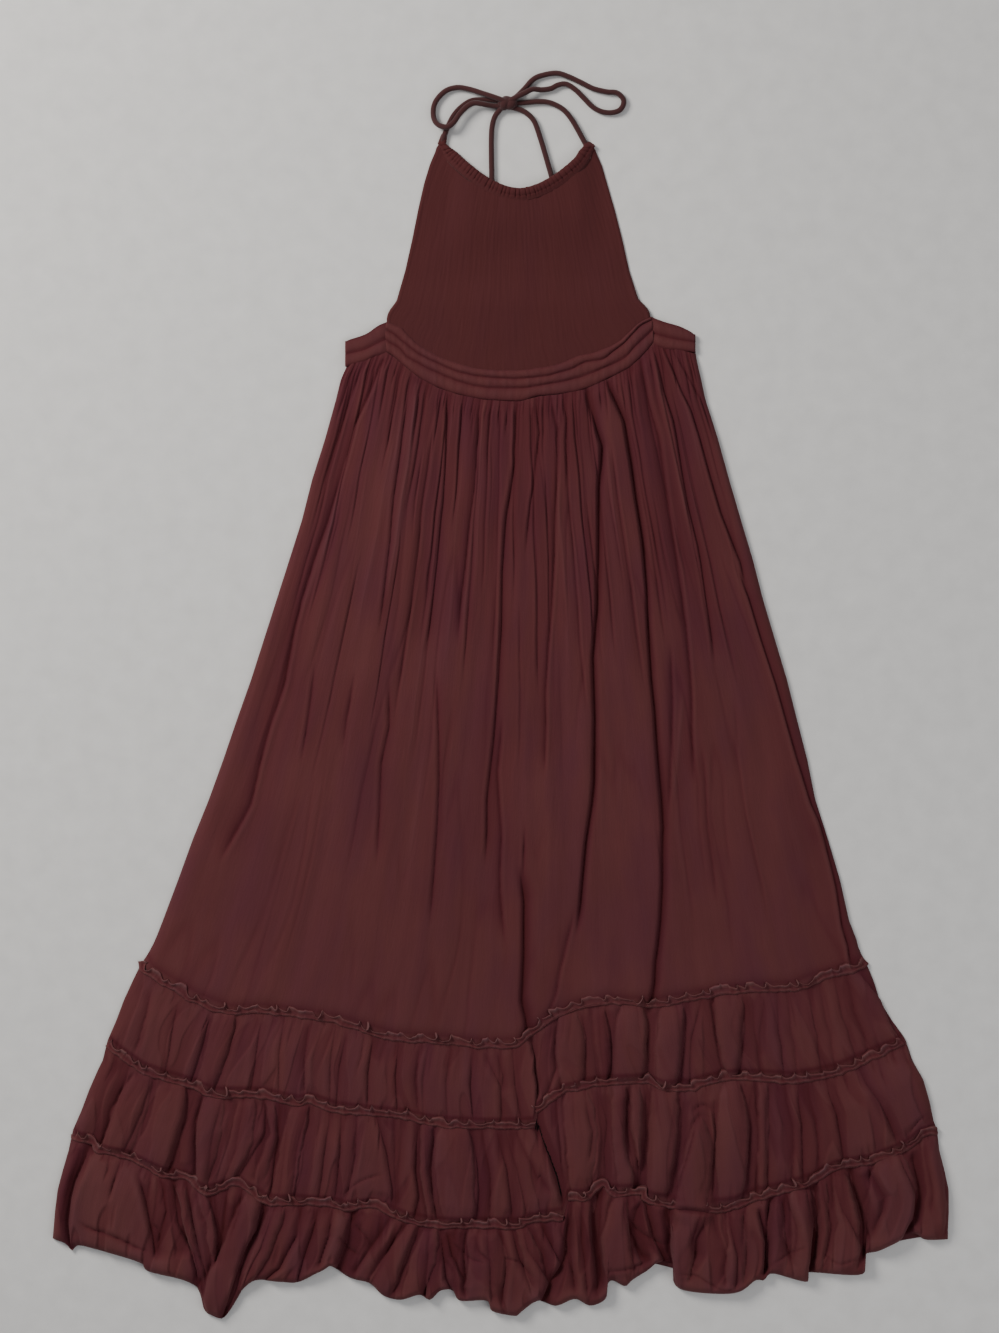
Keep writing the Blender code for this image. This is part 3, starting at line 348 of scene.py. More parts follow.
TIER_3_PUFFS = (
    (7, 0.86, (-385, -537, -375, -584, -359, -643), (-372, -540, -360, -595, -348, -648)),
    (6, 0.86, (-360, -545, -348, -587, -343, -627), (-348, -549, -336, -587, -337, -627)),
    (8, 0.92, (-304, -547, -330, -608, -350, -655, -353, -677), (-283, -560, -302, -614, -321, -679)),
    (7, 0.88, (-277, -563, -299, -622, -314, -667), (-253, -563, -274, -620, -297, -653)),
    (7, 0.9, (-111, -580, -135, -613, -158, -646), (-97, -582, -114, -627, -129, -665)),
    (7, 0.88, (-93, -587, -110, -627, -120, -667), (-74, -589, -78, -627, -90, -660)),
    (7.5, 0.92, (-42, -589, -38, -627, -46, -667), (-2, -589, 7, -622, 2, -660)),
    (7, 0.88, (15, -589, 24, -622, 31, -663), (31, -585, 45, -615, 52, -653)),
    (7, 0.9, (315, -554, 310, -601, 312, -641), (332, -554, 335, -601, 336, -641)),
    (8, 0.92, (339, -545, 341, -586, 341, -644), (365, -540, 367, -591, 359, -644)),
    (5, 0.82, (371, -537, 372, -586, 366, -634), (384, -530, 384, -591, 378, -634)),
    (8, 0.92, (388, -528, 393, -580, 387, -634), (406, -521, 419, -578, 421, -634)),
    (9, 0.94, (438, -516, 425, -563, 433, -596, 431, -618), (473, -497, 489, -539, 479, -575, 471, -601)),
    (6, 0.84, (492, -490, 499, -542, 491, -594), (514, -481, 524, -542, 523, -594)),
    (9, 0.9, (132, -549, 117, -596, 120, -644), (149, -552, 148, -587, 163, -627)),
    (8.5, 0.92, (204, -553, 199, -602, 204, -648), (241, -566, 228, -600, 222, -648)),
    (8, 0.9, (262, -568, 264, -601, 260, -653), (286, -566, 288, -601, 286, -653)),
)

# Hollows between two puffs, darkened by painted shade: its tone, x, y down the left edge, x, y down the right
# edge.
TIER_1_HOLLOWS = (
    (0.36, (171, -330, 169, -377, 165, -422), (183, -330, 179, -377, 179, -422)),
    (0.58, (235, -323, 237, -371, 237, -415), (245, -318, 250, -365, 263, -412)),
    (0.58, (98, -335, 100, -377, 99, -419), (105, -332, 107, -377, 113, -419)),
    (0.5, (123, -330, 131, -368, 127, -417), (133, -330, 136, -368, 132, -417)),
)
TIER_2_HOLLOWS = (
    (0.34, (33, -431, 39, -466, 50, -498, 62, -533, 70, -561),
     (43, -431, 52, -466, 64, -498, 75, -533, 81, -561)),
    (0.46, (109, -429, 116, -483, 109, -547), (126, -427, 127, -483, 131, -547)),
    (0.38, (165, -422, 164, -471, 158, -549), (175, -422, 171, -471, 168, -549)),
    (0.54, (210, -434, 210, -466, 201, -507, 196, -552), (222, -436, 219, -466, 208, -513, 203, -552)),
    (0.54, (243, -436, 249, -471, 249, -513, 248, -559), (255, -436, 253, -471, 251, -513, 257, -559)),
    (0.6, (284, -424, 293, -471, 286, -547), (297, -422, 301, -471, 297, -545)),
)
TIER_3_HOLLOWS = (
    (0.36, (150, -563, 151, -592, 163, -615), (164, -561, 169, -589, 182, -613)),
    (0.42, (-184, -580, -189, -601, -196, -630), (-165, -578, -165, -601, -177, -630)),
    (0.48, (-396, -537, -392, -572, -385, -613), (-386, -540, -379, -572, -368, -620)),
    (0.5, (414, -526, 425, -566, 425, -613), (432, -521, 432, -563, 430, -613)),
)

# Each tier's upper and lower line, forms, rows of points and share of the full relief.
TIERS = (
    (SEAM_1, SEAM_2, TIER_1_FOLDS, (), TIER_1_PUFFS, TIER_1_HOLLOWS, 70, 0.62),
    (SEAM_2, SEAM_3, TIER_2_FOLDS, TIER_2_CREASES, TIER_2_PUFFS, TIER_2_HOLLOWS, 70, 0.78),
    (SEAM_3, HEM, TIER_3_FOLDS, TIER_3_CREASES, TIER_3_PUFFS, TIER_3_HOLLOWS, 74, 1),
)

# ---- helpers


def linked(thing):
    bpy.context.scene.collection.objects.link(thing)
    return thing


def mix(a, b, share):
    return a + (b - a) * share


def smooth(share):
    share = np.clip(share, 0, 1)
    return share * share * (3 - 2 * share)


def rounded(share):
    """0 at the edge and 1 from share 1 on, with the quarter circle of a soft fold."""
    return np.sqrt(np.maximum(0, 1 - (1 - np.clip(share, 0, 1)) ** 2))


def bell(distance, half, power=2):
    return np.exp(-(distance / half) ** power)


def unit(rows):
    return rows / np.linalg.norm(rows, axis=-1)[..., None]


def noise(u, v, seed):
    """Smooth noise of about -1 to 1 over arrays of places."""
    rng = np.random.RandomState(seed)
    order = rng.permutation(256)
    turn = rng.uniform(0, math.tau, 256)
    u, v = np.broadcast_arrays(np.asarray(u, float), np.asarray(v, float))
    column, row = np.floor(u).astype(int), np.floor(v).astype(int)
    fu, fv = u - column, v - row

    def corner(i, j):
        pick = turn[order[(column + i + order[(row + j) & 255]) & 255]]
        return np.cos(pick) * (fu - i) + np.sin(pick) * (fv - j)

    eu, ev = smooth(fu), smooth(fv)
    return 1.5 * mix(mix(corner(0, 0), corner(1, 0), eu), mix(corner(0, 1), corner(1, 1), eu), ev)


def table_x(rows, y):
    """x along an outline that runs down."""
    return np.interp(-np.asarray(y, float), -rows[:, 1], rows[:, 0])


def walk(points):
    """How far each of these points is along the line through them."""
    return np.concatenate([[0], np.cumsum(np.linalg.norm(np.diff(points, axis=0), axis=1))])


def along(points, count):
    """Points at even steps on a smooth curve through these ones."""
    points = np.asarray(points, float)
    padded = np.vstack([2 * points[0] - points[1], points, 2 * points[-1] - points[-2]])
    t = np.linspace(0, 1, 24, endpoint=False)[:, None]
    fine = []
    for a, b, c, d in zip(padded, padded[1:], padded[2:], padded[3:]):
        fine.append(b + 0.5 * t * (c - a + t * (2 * a - 5 * b + 4 * c - d + t * (3 * (b - c) + d - a))))
    fine = np.vstack(fine + [points[-1:]])
    walked = walk(fine)
    at = np.linspace(0, walked[-1], count)
    return np.stack([np.interp(at, walked, column) for column in fine.T], axis=1)


def rounded_rows(rows, step=4):
    """The places of a line on a smooth curve, running on in x."""
    fine = along(rows, int(walk(rows)[-1] / step))
    fine[:, 0] = np.maximum.accumulate(fine[:, 0])
    fine[0], fine[-1] = rows[0], rows[-1]
    return fine


def add_mesh(name, points, faces, material, **layers):
    """A smooth mesh from points in millimetres."""
    mesh = bpy.data.meshes.new(name)
    mesh.from_pydata((np.reshape(points, (-1, 3)) * MM).tolist(), [], faces)
    mesh.update()
    mesh.shade_smooth()
    for key, values in layers.items():
        kind, field = ("FLOAT_VECTOR", "vector") if values.ndim > 2 else ("FLOAT", "value")
        mesh.attributes.new(key, kind, "POINT").data.foreach_set(field, values.astype(np.float32).ravel())
    mesh.materials.append(material)
    return linked(bpy.data.objects.new(name, mesh))


def add_grid(name, grid, material, across, down, fold=1):
    """A sheet of rows down and columns across, with its cloth's own places and the light in its folds."""
    index = np.arange(grid[..., 0].size).reshape(grid.shape[:2])
    faces = np.stack([index[:-1, :-1], index[1:, :-1], index[1:, 1:], index[:-1, 1:]], axis=-1)
    grain = np.stack(np.broadcast_arrays(across, down, np.zeros(index.shape)), axis=-1) * MM
    return add_mesh(name, grid, faces.reshape(-1, 4).tolist(), material, grain=grain,
                    fold=np.broadcast_to(fold, index.shape))


def add_tubes(name, tubes, material):
    """One mesh of closed tubes, each a stack of rings of points."""
    points, faces = [], []
    for rings in tubes:
        steps, sides = rings.shape[:2]
        index = len(points) + np.arange(steps * sides).reshape(steps, sides)
        beyond = np.roll(index, -1, axis=1)
        faces += np.stack([index[:-1], index[1:], beyond[1:], beyond[:-1]], axis=-1).reshape(-1, 4).tolist()
        faces += [index[0].tolist(), index[-1, ::-1].tolist()]
        points += rings.reshape(-1, 3).tolist()
    return add_mesh(name, points, faces, material)


# ---- camera: straight above, framed as the photograph, which shows 1178 by 1573 mm of the surface

VIEW_X, VIEW_Y = -2.95, 75.5
VIEW_HIGH = 1333 * 1.18
CAMERA_Z = 3400
SENSOR = 36


def make_camera():
    data = bpy.data.cameras.new("camera")
    data.sensor_fit = "VERTICAL"
    data.sensor_width = data.sensor_height = SENSOR
    data.lens = SENSOR * CAMERA_Z / VIEW_HIGH
    data.clip_end = 100
    camera = linked(bpy.data.objects.new("camera", data))
    camera.location = (VIEW_X * MM, VIEW_Y * MM, CAMERA_Z * MM)
    bpy.context.scene.camera = camera


make_camera()

# ---- materials


class Nodes:
    """Short calls for a material's nodes."""

    def __init__(self, name):
        self.material = bpy.data.materials.new(name)
        self.material.use_nodes = True
        self.tree = self.material.node_tree
        self.shader = self.tree.nodes["Principled BSDF"]

    def add(self, kind, **values):
        node = self.tree.nodes.new(kind)
        for key, value in values.items():
            if key.startswith("_"):
                setattr(node, key[1:], value)
            else:
                node.inputs[key.replace("_", " ")].default_value = value
        return node

    def link(self, out, into):
        self.tree.links.new(out, into)

    def fill(self, sockets, values):
        for socket, value in zip(sockets, values):
            if isinstance(value, (int, float, tuple)):
                socket.default_value = (*value, 1) if isinstance(value, tuple) else value
            else:
                self.link(value, socket)

    def math(self, operation, *values):
        node = self.add("ShaderNodeMath", _operation=operation)
        self.fill(node.inputs, values)
        return node.outputs[0]

    def tone(self, source, share, rest):
        return self.math("ADD", self.math("MULTIPLY", source, share), rest)

    def noise(self, place, scale, detail, rough=0.5, stretch=None):
        if stretch:
            mapping = self.add("ShaderNodeMapping")
            mapping.inputs["Scale"].default_value = stretch
            self.link(place, mapping.inputs["Vector"])
            place = mapping.outputs["Vector"]
        node = self.add("ShaderNodeTexNoise", Scale=scale, Detail=detail, Roughness=rough)
        self.link(place, node.inputs["Vector"])
        return node.outputs["Fac"]

    def span(self, value, low, high):
        node = self.add("ShaderNodeMapRange", From_Min=low, From_Max=high)
        self.link(value, node.inputs["Value"])
        return node.outputs["Result"]

    def mix_colour(self, factor, a, b, mode="MIX"):
        node = self.add("ShaderNodeMix", _data_type="RGBA", _blend_type=mode)
        self.fill([node.inputs["Factor"]], [factor])
        self.fill([s for s in node.inputs if s.type == "RGBA"], (a, b))
        return [s for s in node.outputs if s.type == "RGBA"][0]

    def bump(self, height, strength, distance):
        node = self.add("ShaderNodeBump", Strength=strength, Distance=distance)
        self.link(height, node.inputs["Height"])
        self.link(node.outputs["Normal"], self.shader.inputs["Normal"])

    def finish(self, **values):
        for key, value in values.items():
            self.shader.inputs[key.replace("_", " ")].default_value = value
        return self.material


def gauze(name, colour, light, purple, crinkle, across=420, down=45, weave=0.5, patchy=0.5):
    """Crinkled rayon gauze: fine lengthwise crinkles and a loose weave, matt, with painted shade in its
    folds.
    """
    n = Nodes(name)
    grain = n.add("ShaderNodeAttribute", _attribute_name="grain").outputs["Vector"]
    # The fold attribute is painted light and shade: low in the folds' valleys, above 1 on lit ridges and
    # rims.
    fold = n.add("ShaderNodeAttribute", _attribute_name="fold").outputs["Fac"]
    place = n.add("ShaderNodeTexCoord").outputs["Object"]
    patches = n.noise(place, 9, 3, 0.6)
    hue = n.noise(grain, 1, 2, 0.5, (26, 7, 1))
    streak = n.noise(grain, 1, 3, 0.65, (150, 9, 1))
    lines = n.noise(grain, 1, 4, 0.6, (across, down, 1))
    threads = n.noise(grain, 1, 1, 0.5, (1500, 1300, 1))

    blotch = n.math("MULTIPLY", n.span(hue, 0.42, 0.72), patchy)
    # Violet tint from random blotches, and from painted shade where the fold attribute is low.
    violet_blotch_and_shade = n.math("ADD", blotch, n.math("MULTIPLY", n.span(fold, 0.92, 0.45), 0.45))
    base = n.mix_colour(patches, colour, light)
    base = n.mix_colour(n.math("MINIMUM", violet_blotch_and_shade, 1), base, purple)
    tone = n.tone(streak, 0.20 * crinkle, 1 - 0.10 * crinkle)
    tone = n.math("MULTIPLY", tone, n.tone(lines, 0.22 * crinkle, 1 - 0.11 * crinkle))
    # Painted shade: the fold attribute darkens the colour in the folds.
    tone = n.math("MULTIPLY", tone, n.tone(fold, 0.62, 0.38))
    # Powers per channel: crinkle darkening and painted shade deepen green and blue more than red.
    crinkle_and_shade = n.add("ShaderNodeCombineColor")
    n.fill(list(crinkle_and_shade.inputs)[:3], [n.math("POWER", tone, power) for power in (0.60, 1.64, 1.50)])
    n.link(n.mix_colour(1, base, crinkle_and_shade.outputs["Color"], "MULTIPLY"), n.shader.inputs["Base Color"])

    relief = n.math("ADD", lines, n.math("MULTIPLY", threads, weave))
    n.bump(n.math("ADD", relief, n.math("MULTIPLY", streak, 0.8)), 0.55 * crinkle, 0.0012)
    n.link(n.tone(lines, 0.16, 0.80), n.shader.inputs["Roughness"])
    return n.finish(Specular_IOR_Level=0.14, Sheen_Weight=0.12, Sheen_Roughness=0.55,
                    Sheen_Tint=(0.75, 0.38, 0.36, 1))


def plain_material(name, colour, rough, scale, strength, distance, **more):
    n = Nodes(name)
    fine = n.noise(n.add("ShaderNodeTexCoord").outputs["Object"], scale, 3)
    dark = tuple(0.82 * part for part in colour)
    n.link(n.mix_colour(fine, dark, colour), n.shader.inputs["Base Color"])
    n.bump(fine, strength, distance)
    return n.finish(Roughness=rough, Specular_IOR_Level=0.2, **more)


SKIRT_CLOTH = gauze(
    "skirt_gauze", (0.075, 0.0194, 0.0202), (0.097, 0.0258, 0.0262), (0.070, 0.0162, 0.0262),
    0.62, patchy=0.55,
)
BIB_CLOTH = gauze(
    "bib_gauze", (0.058, 0.0132, 0.0134), (0.067, 0.0152, 0.0154), (0.056, 0.0126, 0.0158),
    0.55, 560, 60, weave=0.7, patchy=0.3,
)
BAND_CLOTH = gauze(
    "band_gauze", (0.074, 0.0194, 0.0200), (0.094, 0.0250, 0.0252), (0.068, 0.0174, 0.0236), 0.8, 300, 160,
)
# The headings' gauze is the skirt's cloth made lighter: painted light on the raised headings.
FRILL_CLOTH_PAINTED_LIGHT = gauze(
    "frill_gauze", (0.086, 0.0236, 0.0244), (0.112, 0.0318, 0.0324), (0.080, 0.0210, 0.0286), 0.7, 500, 300,
)
CORD_CLOTH = plain_material("tie_gauze", (0.052, 0.0140, 0.0140), 0.85, 1400, 0.5, 0.0006, Sheen_Weight=0.2)
THREAD = plain_material("thread", (0.016, 0.0045, 0.006), 0.7, 3000, 0.3, 0.0002)
FLOOR = plain_material("floor", (0.72, 0.70, 0.67), 0.75, 40, 0.05, 0.0005)

# ---- cords: the two ties, each from the casing through the knot and its loop to its free end

TIE_RADIUS = 3.2
KNOT_X, KNOT_Y, KNOT_Z = 7, 739.5, 7
TIE_LEFT = places(
    -70.6, 693, 3.2, -69.4, 697, 3.3, -67.8, 702, 3.4, -64.3, 711, 3.4, -57, 725, 3.4, -48, 735, 3.4,
    -36, 742.5, 3.4, -22, 743.5, 3.4, -8, 743.2, 3.6, 2, 741.5, 5.4, 13, 744, 5, 19, 749, 3.6, 27, 757, 3.4,
    36, 767, 3.4, 46, 772, 3.4, 64, 775, 3.4, 78, 771, 3.4, 93, 764, 3.4, 107, 757, 3.4, 123, 753, 3.4,
    136, 751.5, 3.4, 143.5, 742.5, 3.4, 140, 732.5, 3.4, 130, 728.5, 3.4, 118, 729.5, 3.4, 107, 735, 3.4,
    97, 745, 3.4, 87, 755, 3.4, 76, 762, 3.4, 66, 761, 3.4, 58, 757, 3.6, 47, 755, 5, 36, 755, 8.6,
    26, 750, 10.4, 14, 744, 10.2, 4, 738, 6.8, -3, 731, 4.2, -8.5, 723.5, 3.4, -11.5, 713, 3.4,
    -12.5, 700, 3.4, -12.5, 676, 3.4, -12, 648, 3.4, -12, 622, 3.4,
    size=3,
)
TIE_RIGHT = places(
    101.5, 686.5, 3.2, 99.5, 690, 3.3, 96.5, 695, 3.4, 89.5, 708, 3.4, 81, 722, 3.4, 71, 733, 3.4,
    57, 740, 3.4, 44, 741.5, 3.4, 30, 740.5, 3.4, 15, 739.5, 3.8, 4, 741, 9, -8, 745, 10.2, -22, 750, 8,
    -39, 756, 4.2, -54, 758, 3.4, -68, 753, 3.4, -79, 740, 3.4, -81, 725, 3.8, -76, 714, 7.3,
    -65, 710.2, 10.5, -57.2, 715.5, 10, -50.6, 725, 9.4, -42.3, 733.8, 9.6, -33.3, 738.5, 9.4,
    -22, 737.6, 7.8, -10, 736.2, 4.4, 6, 735.5, 4.6, 21, 732, 3.5, 30, 727, 3.4, 38, 718, 3.4, 44, 702, 3.4,
    51, 679, 3.4, 59, 651, 3.4, 66, 627, 3.4,
    size=3,
)


def add_cord(name, route, count):
    """The cord, its exit from the casing and its length."""
    points = along(route, count) * MM
    curve = bpy.data.curves.new(name, "CURVE")
    curve.dimensions = "3D"
    curve.bevel_depth = TIE_RADIUS * MM
    curve.bevel_resolution = 4
    curve.use_fill_caps = True
    line = curve.splines.new("POLY")
    line.points.add(count - 1)
    for k, (spot, point) in enumerate(zip(line.points, points)):
        spot.co = (*point, 1)
        spot.radius = min(1, 0.55 + 0.2 * k)    # drawn into the casing's mouth
    line.use_smooth = True
    curve.materials.append(CORD_CLOTH)
    return linked(bpy.data.objects.new(name, curve)), points[0], float(walk(points)[-1])


tie_left, tie_left_exit, tie_left_length = add_cord("tie_left", TIE_LEFT, 240)
tie_right, tie_right_exit, tie_right_length = add_cord("tie_right", TIE_RIGHT, 200)


def make_knot():
    """The knot: two snug turns of the cord wound over the crossing ties, and a core that fills them."""
    angle = np.linspace(-2, 2, 48)
    turn = (math.tau * np.arange(14) / 14)[:, None]
    turns = []
    for shift, lean, size in ((-4.4, 1, 1), (4.2, 2.2, 0.92)):
        centre = np.stack([
            KNOT_X + shift + lean * np.sin(angle), KNOT_Y - 0.8 + 5.6 * size * np.sin(angle),
            KNOT_Z - 1.4 + 4.6 * size * np.cos(angle),
        ], axis=1)
        ahead = unit(np.gradient(centre, axis=0))
        side = unit(np.cross(ahead, (1, 0, 0)))
        beside = np.cross(side, ahead)
        spoke = side[:, None] * 2.5 * np.cos(turn) + beside[:, None] * 4.7 * np.sin(turn)
        grip = 1 + 0.06 * np.sin(np.linspace(0, 9, len(angle)) + shift)
        rings = centre[:, None] + spoke * grip[:, None, None]
        rings[..., 2] = np.maximum(rings[..., 2], 0.15)
        turns.append(rings)
    band = add_tubes("knot_band", turns, CORD_CLOTH)
    bpy.ops.mesh.primitive_uv_sphere_add(segments=40, ring_count=24, location=(0, 0, 0))
    core = bpy.context.object
    core.name = "knot_core"
    for vertex in core.data.vertices:
        x, y, z = vertex.co
        lump = 1 + 0.05 * math.sin(5 * x) * math.cos(3 * y)
        vertex.co = (
            (KNOT_X + 11.6 * x * lump) * MM, (KNOT_Y + 8 * y * lump) * MM,
            (KNOT_Z - 0.9 + 5.6 * z * lump) * MM,
        )
    core.data.shade_smooth()
    core.data.materials.append(CORD_CLOTH)
    return band, core


knot_band, knot_core = make_knot()

# ---- sheets of cloth, as heights over a flat layout

EDGE_LOW = 1.6            # where a front panel's side edge meets the back
EDGE_ROUND = 9            # radius of the soft fold at the sides
DARK_LINE = 10.8          # how far above the next stitch line the heading's shadow lies


class Panel:
    """A piece of cloth between two cross lines, laid out as rows down and columns across."""

    def __init__(self, upper, lower, left, right, rows, columns):
        self.upper, self.lower, self.left, self.right = upper, lower, left, right
        self.s = np.linspace(0, 1, columns)
        self.d = np.linspace(0, 1, rows)
        self.x, self.y = self.place(self.s[None, :], self.d[:, None])
        self.width = self.x[:, -1] - self.x[:, 0]
        self.length = float(np.mean(self.y[0] - self.y[-1]))
        self.to_side = np.minimum(self.s, 1 - self.s) * self.width[:, None]

    def place(self, s, d):
        """x and y at a share across and a share down."""
        upper, lower = self.upper, self.lower
        ux, lx = mix(upper[0, 0], upper[-1, 0], s), mix(lower[0, 0], lower[-1, 0], s)
        x = mix(ux, lx, d)
        y = mix(np.interp(ux, upper[:, 0], upper[:, 1]), np.interp(lx, lower[:, 0], lower[:, 1]), d)
        for side, rows in ((0, self.left), (-1, self.right)):
            edge_x, edge_y = mix(upper[side, 0], lower[side, 0], d), mix(upper[side, 1], lower[side, 1], d)
            x = x + (table_x(rows, edge_y) - edge_x) * (s if side else 1 - s)
        return x, y

    def shares(self, points):
        """Shares across and down of points on the panel."""
        s, d = np.full(len(points), 0.5), np.full(len(points), 0.5)
        for _ in range(30):
            x, y = self.place(s, d)
            top, foot = self.place(s, 0)[1], self.place(s, 1)[1]
            d = np.clip(d + (y - points[:, 1]) / (top - foot) * 0.8, -0.3, 1.3)
            left, right = self.place(np.zeros_like(s), d)[0], self.place(np.ones_like(s), d)[0]
            s = np.clip(s + (points[:, 0] - x) / (right - left) * 0.8, -0.1, 1.1)
        return s, d

    def add(self, name, x, z, shade, step=1):
        """The panel as a mesh, with these places, heights and shades."""
        across, down = (self.s - 0.5) * self.width.mean(), (self.d * self.length)[:, None]
        grid = np.stack([x, self.y, z], axis=-1)[:, ::step]
        return add_grid(name, grid, SKIRT_CLOTH, across[::step], down, shade[:, ::step])


def named_folds(panel, rows, fade=0.06, wide=1, power=0.7):
    """The table's fold lines as shares of the panel."""
    folds = []
    for strength, lean, half, *flat in rows:
        points = places(*flat, size=2 if half else 3)
        s, d = panel.shares(points)
        order = np.argsort(d)
        half = (half * np.ones(len(points)) if half else points[order, 2]) * wide
        folds.append((np.sign(strength) * abs(strength) ** power, lean, half, s[order], d[order], fade, fade))
    return folds


def seeded_gathers(seed, count, reach, half, strength, wander=0.004, upward=False):
    """Short gathers from a stitch line, of uneven spacing and reach."""
    rng = np.random.RandomState(seed)
    folds = []
    for k in range(count):
        s = (k + 0.5 + rng.uniform(-0.36, 0.36)) / count
        end = rng.uniform(*reach)
        d = np.array([-0.05, end * 0.5, end])
        fades = (0.02, end * 0.6)
        if upward:
            d, fades = 1 - d[::-1], fades[::-1]
        drift = s + np.cumsum(rng.uniform(-wander, wander, 3))
        folds.append((rng.uniform(*strength), rng.uniform(-0.5, 0.5), rng.uniform(*half), drift, d, *fades))
    return folds


def long_creases(seed, count, half, strength, span, length, ridge):
    """Fine lengthwise creases that start and end anywhere on the panel."""
    rng = np.random.RandomState(seed)
    folds = []
    for k in range(count):
        s = (k + rng.uniform(0, 1)) / count
        first = rng.uniform(*span)
        d = np.linspace(first, first + rng.uniform(*length), 5)
        drift = s + np.cumsum(rng.uniform(-0.0028, 0.0028, 5))
        power = rng.uniform(*strength) * (-1 if rng.uniform() < ridge else 1)
        folds.append((power, rng.uniform(-0.6, 0.6), rng.uniform(*half), drift, d, 0.07, 0.10))
    return folds


def carve(panel, folds, over, deep_from=0.99, narrow=1):
    """
    How high the cloth stands between its folds, 0 to 1, its sideways shift, ridges and deep gaps.

    Each fold laps over its valley from one side: a steep wall there, a slow rise on the other side.
    """
    high = np.ones_like(panel.x)
    shift, ridge, deep = np.zeros((3, *high.shape))
    for strength, lean, half, s, d, fade_in, fade_out in folds:
        rows = slice(np.searchsorted(panel.d, d[0]), np.searchsorted(panel.d, d[-1], "right"))
        down = panel.d[rows]
        if not len(down):
            continue
        inward = 1 if d[0] <= 0.02 else smooth((down - d[0]) / fade_in)
        outward = 1 if d[-1] >= 0.98 else smooth((d[-1] - down) / fade_out)
        power = (abs(strength) * inward * outward * np.ones_like(down))[:, None]
        if np.ndim(half):
            half = np.interp(down, d, half)[:, None]
        away = (panel.s[None, :] - np.interp(down, d, s)[:, None]) * panel.width[rows][:, None]
        if strength < 0:
            ridge[rows] += power * np.exp(-np.abs(away) / (0.32 * half))
            continue
        out = away * (1 if lean >= 0 else -1)
        bias = min(abs(lean), 1)
        wide = half * narrow
        wall = 1 - rounded(np.maximum(-out, 0) / (wide * (0.95 - 0.55 * bias)))
        slow = np.exp(-np.maximum(out, 0) / (wide * (0.32 + 0.42 * bias)))
        high[rows] *= 1 - power * np.where(out < 0, wall, slow)
        high[rows] *= 1 - 0.20 * power * bell(away, 2.2 * half)
        ridge[rows] += (0.2 + 0.4 * bias) * power * bell(out + wide * (1 - 0.45 * bias), 0.36 * wide)
        shift[rows] += over * lean * power * bell(out + 0.45 * half, half)
        if abs(strength) >= deep_from:
            deep[rows] += power * (bell(away, 0.5 * half) - 0.30 * bell(away, 1.9 * half))
    return high, shift, ridge, np.minimum(deep, 1)


# ---- skirt front

SKIRT_EDGE_LEVEL, SKIRT_RISE = 4, 2.2    # how the loosely lying front rises from its sides
SKIRT_TOP, SKIRT_FOOT = 4.9, 5           # levels at the waistband and at the first tier
GATHER_HIGH, FOLD_HIGH = 3.4, 3.6        # height of the folds, and what the gathers add to it


def make_skirt():
    panel = Panel(WAIST_SEAM, SEAM_1, SKIRT_LEFT, SKIRT_RIGHT, 160, 600)
    folds = named_folds(panel, SKIRT_FOLDS, wide=1.05)
    folds += seeded_gathers(41, 34, (0.05, 0.16), (4, 6.5), (0.3, 0.65))
    folds += seeded_gathers(42, 56, (0.02, 0.06), (3, 4.2), (0.3, 0.65))
    folds += long_creases(45, 30, (4, 7), (0.35, 0.75), (-0.1, 0.10), (0.22, 0.5), 0.35)
    folds += long_creases(43, 30, (3.6, 6), (0.2, 0.5), (0, 0.3), (0.15, 0.45), 0.3)
    folds += long_creases(44, 16, (5, 9), (0.10, 0.28), (0.3, 0.85), (0.15, 0.4), 0.4)
    high, shift, ridge, deep = carve(panel, folds, 3.4, narrow=0.62)
    s, d = panel.s[None, :], panel.d[:, None]
    across = s * panel.width.mean()
    wave = noise(across / 21 + 0.6 * noise(across / 90, d * 3, 7), d * 3.2, 8)
    broad = noise(across / 52, d * 2.2, 9)
    fine = noise(across / 8.5 + 0.5 * noise(across / 40, d * 5, 10), d * 7, 11)
    seams = bell(wave, 0.10) * smooth(noise(across / 60, d * 4, 12) * 2 + 0.4)
    low = SKIRT_EDGE_LEVEL + SKIRT_RISE * smooth(np.minimum(s, 1 - s) * 5)
    z = low + high * (FOLD_HIGH + GATHER_HIGH * np.exp(-d / 0.30)) * mix(0.5, 1, smooth(d / 0.03))
    z += (1.5 * wave + 1.5 * broad + 0.28 * fine * (1 + np.exp(-d / 0.2))) * smooth(d / 0.05)
    z += 1.6 * ridge - 4 * deep - 0.6 * seams * smooth(d / 0.12)
    foot = smooth((1 - d) / 0.03)
    z = mix(SKIRT_FOOT + 1.6 * high - 3 * deep, z, foot)
    z = mix(SKIRT_TOP + 1.6 * high, z, smooth(d / 0.016))
    z = EDGE_LOW + (z - EDGE_LOW) * rounded(panel.to_side / EDGE_ROUND)
    shade = mix(0.92, high, 0.80) * (1 - 0.7 * deep) + 0.42 * ridge - 0.12 * seams
    shade = shade * (1 - 0.45 * bell((1 - d) * panel.length - DARK_LINE, 2.6))
    x = panel.x + shift * high * smooth(d / 0.03) * foot
    return panel.add("skirt_front_cloth", x, np.maximum(z, EDGE_LOW), np.clip(shade, 0, 1.45))


skirt = make_skirt()

# ---- tiers

TIER_HIGH = 10                 # height of the last tier's folds
TIER_TOP, TIER_FOOT = 5.2, 4.8    # levels at a tier's own stitch line and at the next
RAISED_PUFF = (225, 22)        # x and half width of the puff that hides the third stitch line
RAISED_LEVEL = 15.5
STITCH_DIP = 4.5               # how far that puff dips over the stitch line


